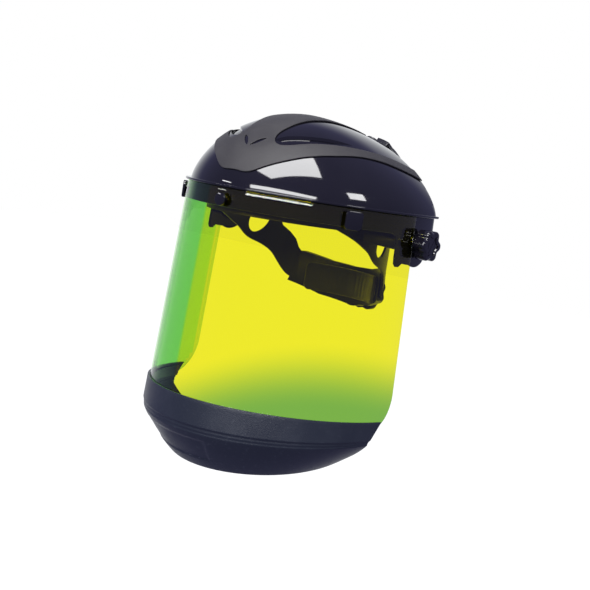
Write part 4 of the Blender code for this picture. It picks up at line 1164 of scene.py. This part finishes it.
def strap_surface(u, v):
    angle = u / STRAP_ROUND
    x = STRAP_HALF_SPAN * math.copysign(abs(math.sin(angle)) ** STRAP_FULLNESS, angle)
    rise = STRAP_RISE * max(math.cos(angle), 0.0) ** STRAP_FULLNESS
    across = Vector((0.0, math.cos(STRAP_LEAN), -math.sin(STRAP_LEAN)))
    return STRAP_ROOT + Vector((x, 0.0, 0.0)) + STRAP_UP * rise + across * v


def flatten(piece):
    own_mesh(piece)


def strap(node, start, end, raise_by, holes_at=(), rounded=False):
    """A strap from one angle, in degrees, to another. Its far end may be rounded."""
    low, high = math.radians(start) * STRAP_ROUND, math.radians(end) * STRAP_ROUND
    wide = STRAP_HALF_WIDTH
    outline = [(low, -wide), (high, -wide), (high, wide), (low, wide)]
    if rounded:
        turns = steps(-math.pi / 2, math.pi / 2, 12)
        bow = [(high + wide * math.cos(a) - wide, wide * math.sin(a)) for a in turns]
        outline = bow + [(low, wide), (low, -wide)]
    holes = [ellipse(math.radians(a) * STRAP_ROUND, 0.0, PEG_HOLE, PEG_HOLE, 16) for a in holes_at]
    shape = slab([outline] + holes, STRAP_WALL, rounding=0.0005, cell=0.004)
    shape = bend(shape, strap_surface, raise_by)
    flatten(finish_piece(f"{node}_fine", shape, "headgear", "band_black", node))


strap("crown_strap_left", -16, 89.6, -STRAP_WALL, holes_at=range(-12, 40, 7))
strap("crown_strap_right", -89.6, -17.2, -STRAP_WALL)
strap("crown_strap_tongue", -22, 6, GAP, holes_at=(-12, -6), rounded=True)
for node in ("crown_strap_peg", "crown_strap_slider"):
    flatten(refined(node, "headgear", "band_black", 0.0004))

# %% [markdown]
# ## The pads
#
# The sweatband lines the brow and a small pad lines the nape. Each is foam in a knitted
# cover: a crowned form whose faces swell between the sewn edges. A cloth simulation with
# a little inner pressure gives that swelling. It starts from a slightly smaller form, and
# each point's travel is capped, so the pad stays in the space that the model gives it.

# %% Inflate a pad
PAD_WALL = 0.0040
PAD_INSET, PAD_CORNER, PAD_SINK = 0.0006, 0.006, 0.0044
VOXEL = 0.0016
TRAVEL_CAP = 0.0012
LAST_FRAME = 12


def pad_shape(end, low, high, grow, middle):
    """A plain curved pad, drawn flat and wrapped inside the band."""

    def surface(u, v):
        angle = middle + u / BAND_ROUND
        x = (BAND_HALF_WIDTH + grow) * math.sin(angle)
        return Vector((x, BAND_CENTRE_Y - (BAND_HALF_LENGTH + grow) * math.cos(angle), v))

    reach = end * BAND_ROUND
    low, high = low + PAD_INSET, high - PAD_INSET
    turns = steps(0.0, math.pi / 2, 8)
    side = reach - PAD_CORNER
    top = [
        (side + PAD_CORNER * math.sin(a), high - PAD_CORNER + PAD_CORNER * math.cos(a))
        for a in turns
    ]
    foot = [
        (side + PAD_CORNER * math.cos(a), low + PAD_CORNER - PAD_CORNER * math.sin(a))
        for a in turns
    ]
    outline = mirrored([(0.0, high)] + top + foot + [(0.0, low)])
    shape = slab([outline], PAD_WALL, rounding=0.0014, cell=0.003)
    return bend(shape, surface, -PAD_SINK)


def inflate(piece):
    """A short pressure simulation, with each point's travel capped."""
    remesh = piece.modifiers.new("even", "REMESH")
    remesh.mode, remesh.voxel_size = "VOXEL", VOXEL
    settle(piece)
    start = [vert.co.copy() for vert in piece.data.vertices]
    cloth = piece.modifiers.new("swell", "CLOTH")
    cloth.settings.use_pressure = True
    cloth.settings.uniform_pressure_force = 4.0
    cloth.settings.effector_weights.gravity = 0.0
    cloth.point_cache.frame_start, cloth.point_cache.frame_end = 1, LAST_FRAME
    scene = bpy.context.scene
    for number in range(1, LAST_FRAME + 1):
        scene.frame_set(number)
    settle(piece)
    scene.frame_set(1)
    for vert, origin in zip(piece.data.vertices, start):
        travel = vert.co - origin
        if travel.length > TRAVEL_CAP:
            vert.co = origin + travel.normalized() * TRAVEL_CAP
    piece.data.shade_smooth()


SWEATBAND_GROW = -BAND_WALL - GAP
NAPE_GROW = -BAND_WALL - 2 * GAP - 0.002
PADS = [
    ("sweatband_pad", math.radians(70), 0.003, 0.029, SWEATBAND_GROW, 0.0, "sweatband"),
    ("nape_cushion", math.radians(36), -0.0745, -0.0435, NAPE_GROW, math.pi, "nape_pad"),
]
for name, end, low, high, grow, middle, node in PADS:
    shape = pad_shape(end, low, high, grow, middle)
    pad = finish_piece(name, shape, "headgear", "pad_fabric", node)
    inflate(pad)
    print(name, "has", len(pad.data.vertices), "points")

# %% [markdown]
# ## Floor and light
#
# A plain white floor lies well below, since the shield is held up rather than stood down.
# It glows faintly, so that it runs into the white room without a line, and it is kept out
# of reflections. Polished black shows the room as a mirror does, so the room is white to
# look at but dark to reflect, except behind the shield, where it rims the edges.

# %% Lay the floor
FLOOR_DROP = 0.35
floor_shape = bmesh.new()
bmesh.ops.create_grid(floor_shape, x_segments=1, y_segments=1, size=6.0)
floor_level = CAD_BOX[0][2] - FLOOR_DROP
bmesh.ops.translate(floor_shape, verts=floor_shape.verts[:], vec=(0.0, 0.0, floor_level))
floor_mesh = bpy.data.meshes.new("floor")
floor_shape.to_mesh(floor_mesh)
floor_shape.free()
floor = bpy.data.objects.new("floor", floor_mesh)
bpy.context.scene.collection.objects.link(floor)
floor_paint = Finish("floor_paint", Roughness=1.0, Emission_Strength=1.0)
floor_paint.shader.inputs["Base Color"].default_value = (0.10, 0.10, 0.10, 1.0)
floor_paint.shader.inputs["Emission Color"].default_value = (1.0, 1.0, 1.0, 1.0)
floor_mesh.materials.append(floor_paint.material)
floor.visible_glossy = floor.visible_diffuse = False


# %% Paint the room
class Room(Finish):
    """The world's background, written with the same fields as a finish."""

    def __init__(self, name):
        self.world = bpy.data.worlds.new(name)
        self.world.use_nodes = True
        self.tree = self.world.node_tree
        self.shader = self.tree.nodes["Background"]


ROOM_DIM = (0.21, 0.21, 0.40)
ROOM_BRIGHT = (0.95, 0.97, 1.0)
room = Room("room")
seen = room.node("ShaderNodeLightPath")
behind = room.node(
    "ShaderNodeVectorMath", {"operation": "DOT_PRODUCT"},
    {0: room.place("Generated"), 1: tuple(-back)}, "Value",
)
rimmed = room.blend(behind.between(0.60, 0.97), ROOM_DIM, ROOM_BRIGHT)
room.feed(Color=room.blend(seen, rimmed, (1.0, 1.0, 1.0)))
room.shader.inputs["Strength"].default_value = 1.0
bpy.context.scene.world = room.world

# %% [markdown]
# The lamps are plain rectangles. A broad panel overhead, turned level, draws the pale
# shape on the dome. The others face the shield, and each is placed by the direction it
# comes from, as an angle round from the front, an angle up, and a distance: a long low
# strip for the bright line above the rim, and small ones for the short glints.

# %% Hang the lights
CENTRE = Vector((0.0, -0.03, 0.03))


def area_light(name, place, width, height, brightness):
    """A rectangular lamp that faces the shield. Brightness is how bright its face looks."""
    lamp = bpy.data.lights.new(name, "AREA")
    lamp.shape, lamp.size, lamp.size_y = "RECTANGLE", width, height
    lamp.energy = brightness * math.pi * width * height
    light = bpy.data.objects.new(name, lamp)
    light.location = place
    light.rotation_euler = (CENTRE - Vector(place)).to_track_quat("-Z", "Y").to_euler()
    bpy.context.scene.collection.objects.link(light)
    return light


def toward(azimuth, elevation, distance):
    turn, tip = math.radians(azimuth), math.radians(elevation)
    level = distance * math.cos(tip)
    return (level * math.sin(turn), -level * math.cos(turn), distance * math.sin(tip))


CEILING_HEADING = math.atan2(0.855, 0.52)
ceiling = area_light("ceiling_panel", (0.15, -1.0, 1.25), 1.5, 0.7, 18.0)
ceiling.rotation_euler = (0.0, 0.0, CEILING_HEADING)
area_light("low_strip", toward(17, 15.5, 1.6), 1.9, 0.24, 20.0)
area_light("side_panel", toward(87, 31, 1.5), 0.36, 0.26, 20.0)
area_light("glint_high", toward(-43, 35, 1.5), 0.30, 0.03, 30.0)
area_light("glint_low", toward(-43, 12, 1.5), 0.30, 0.03, 30.0)
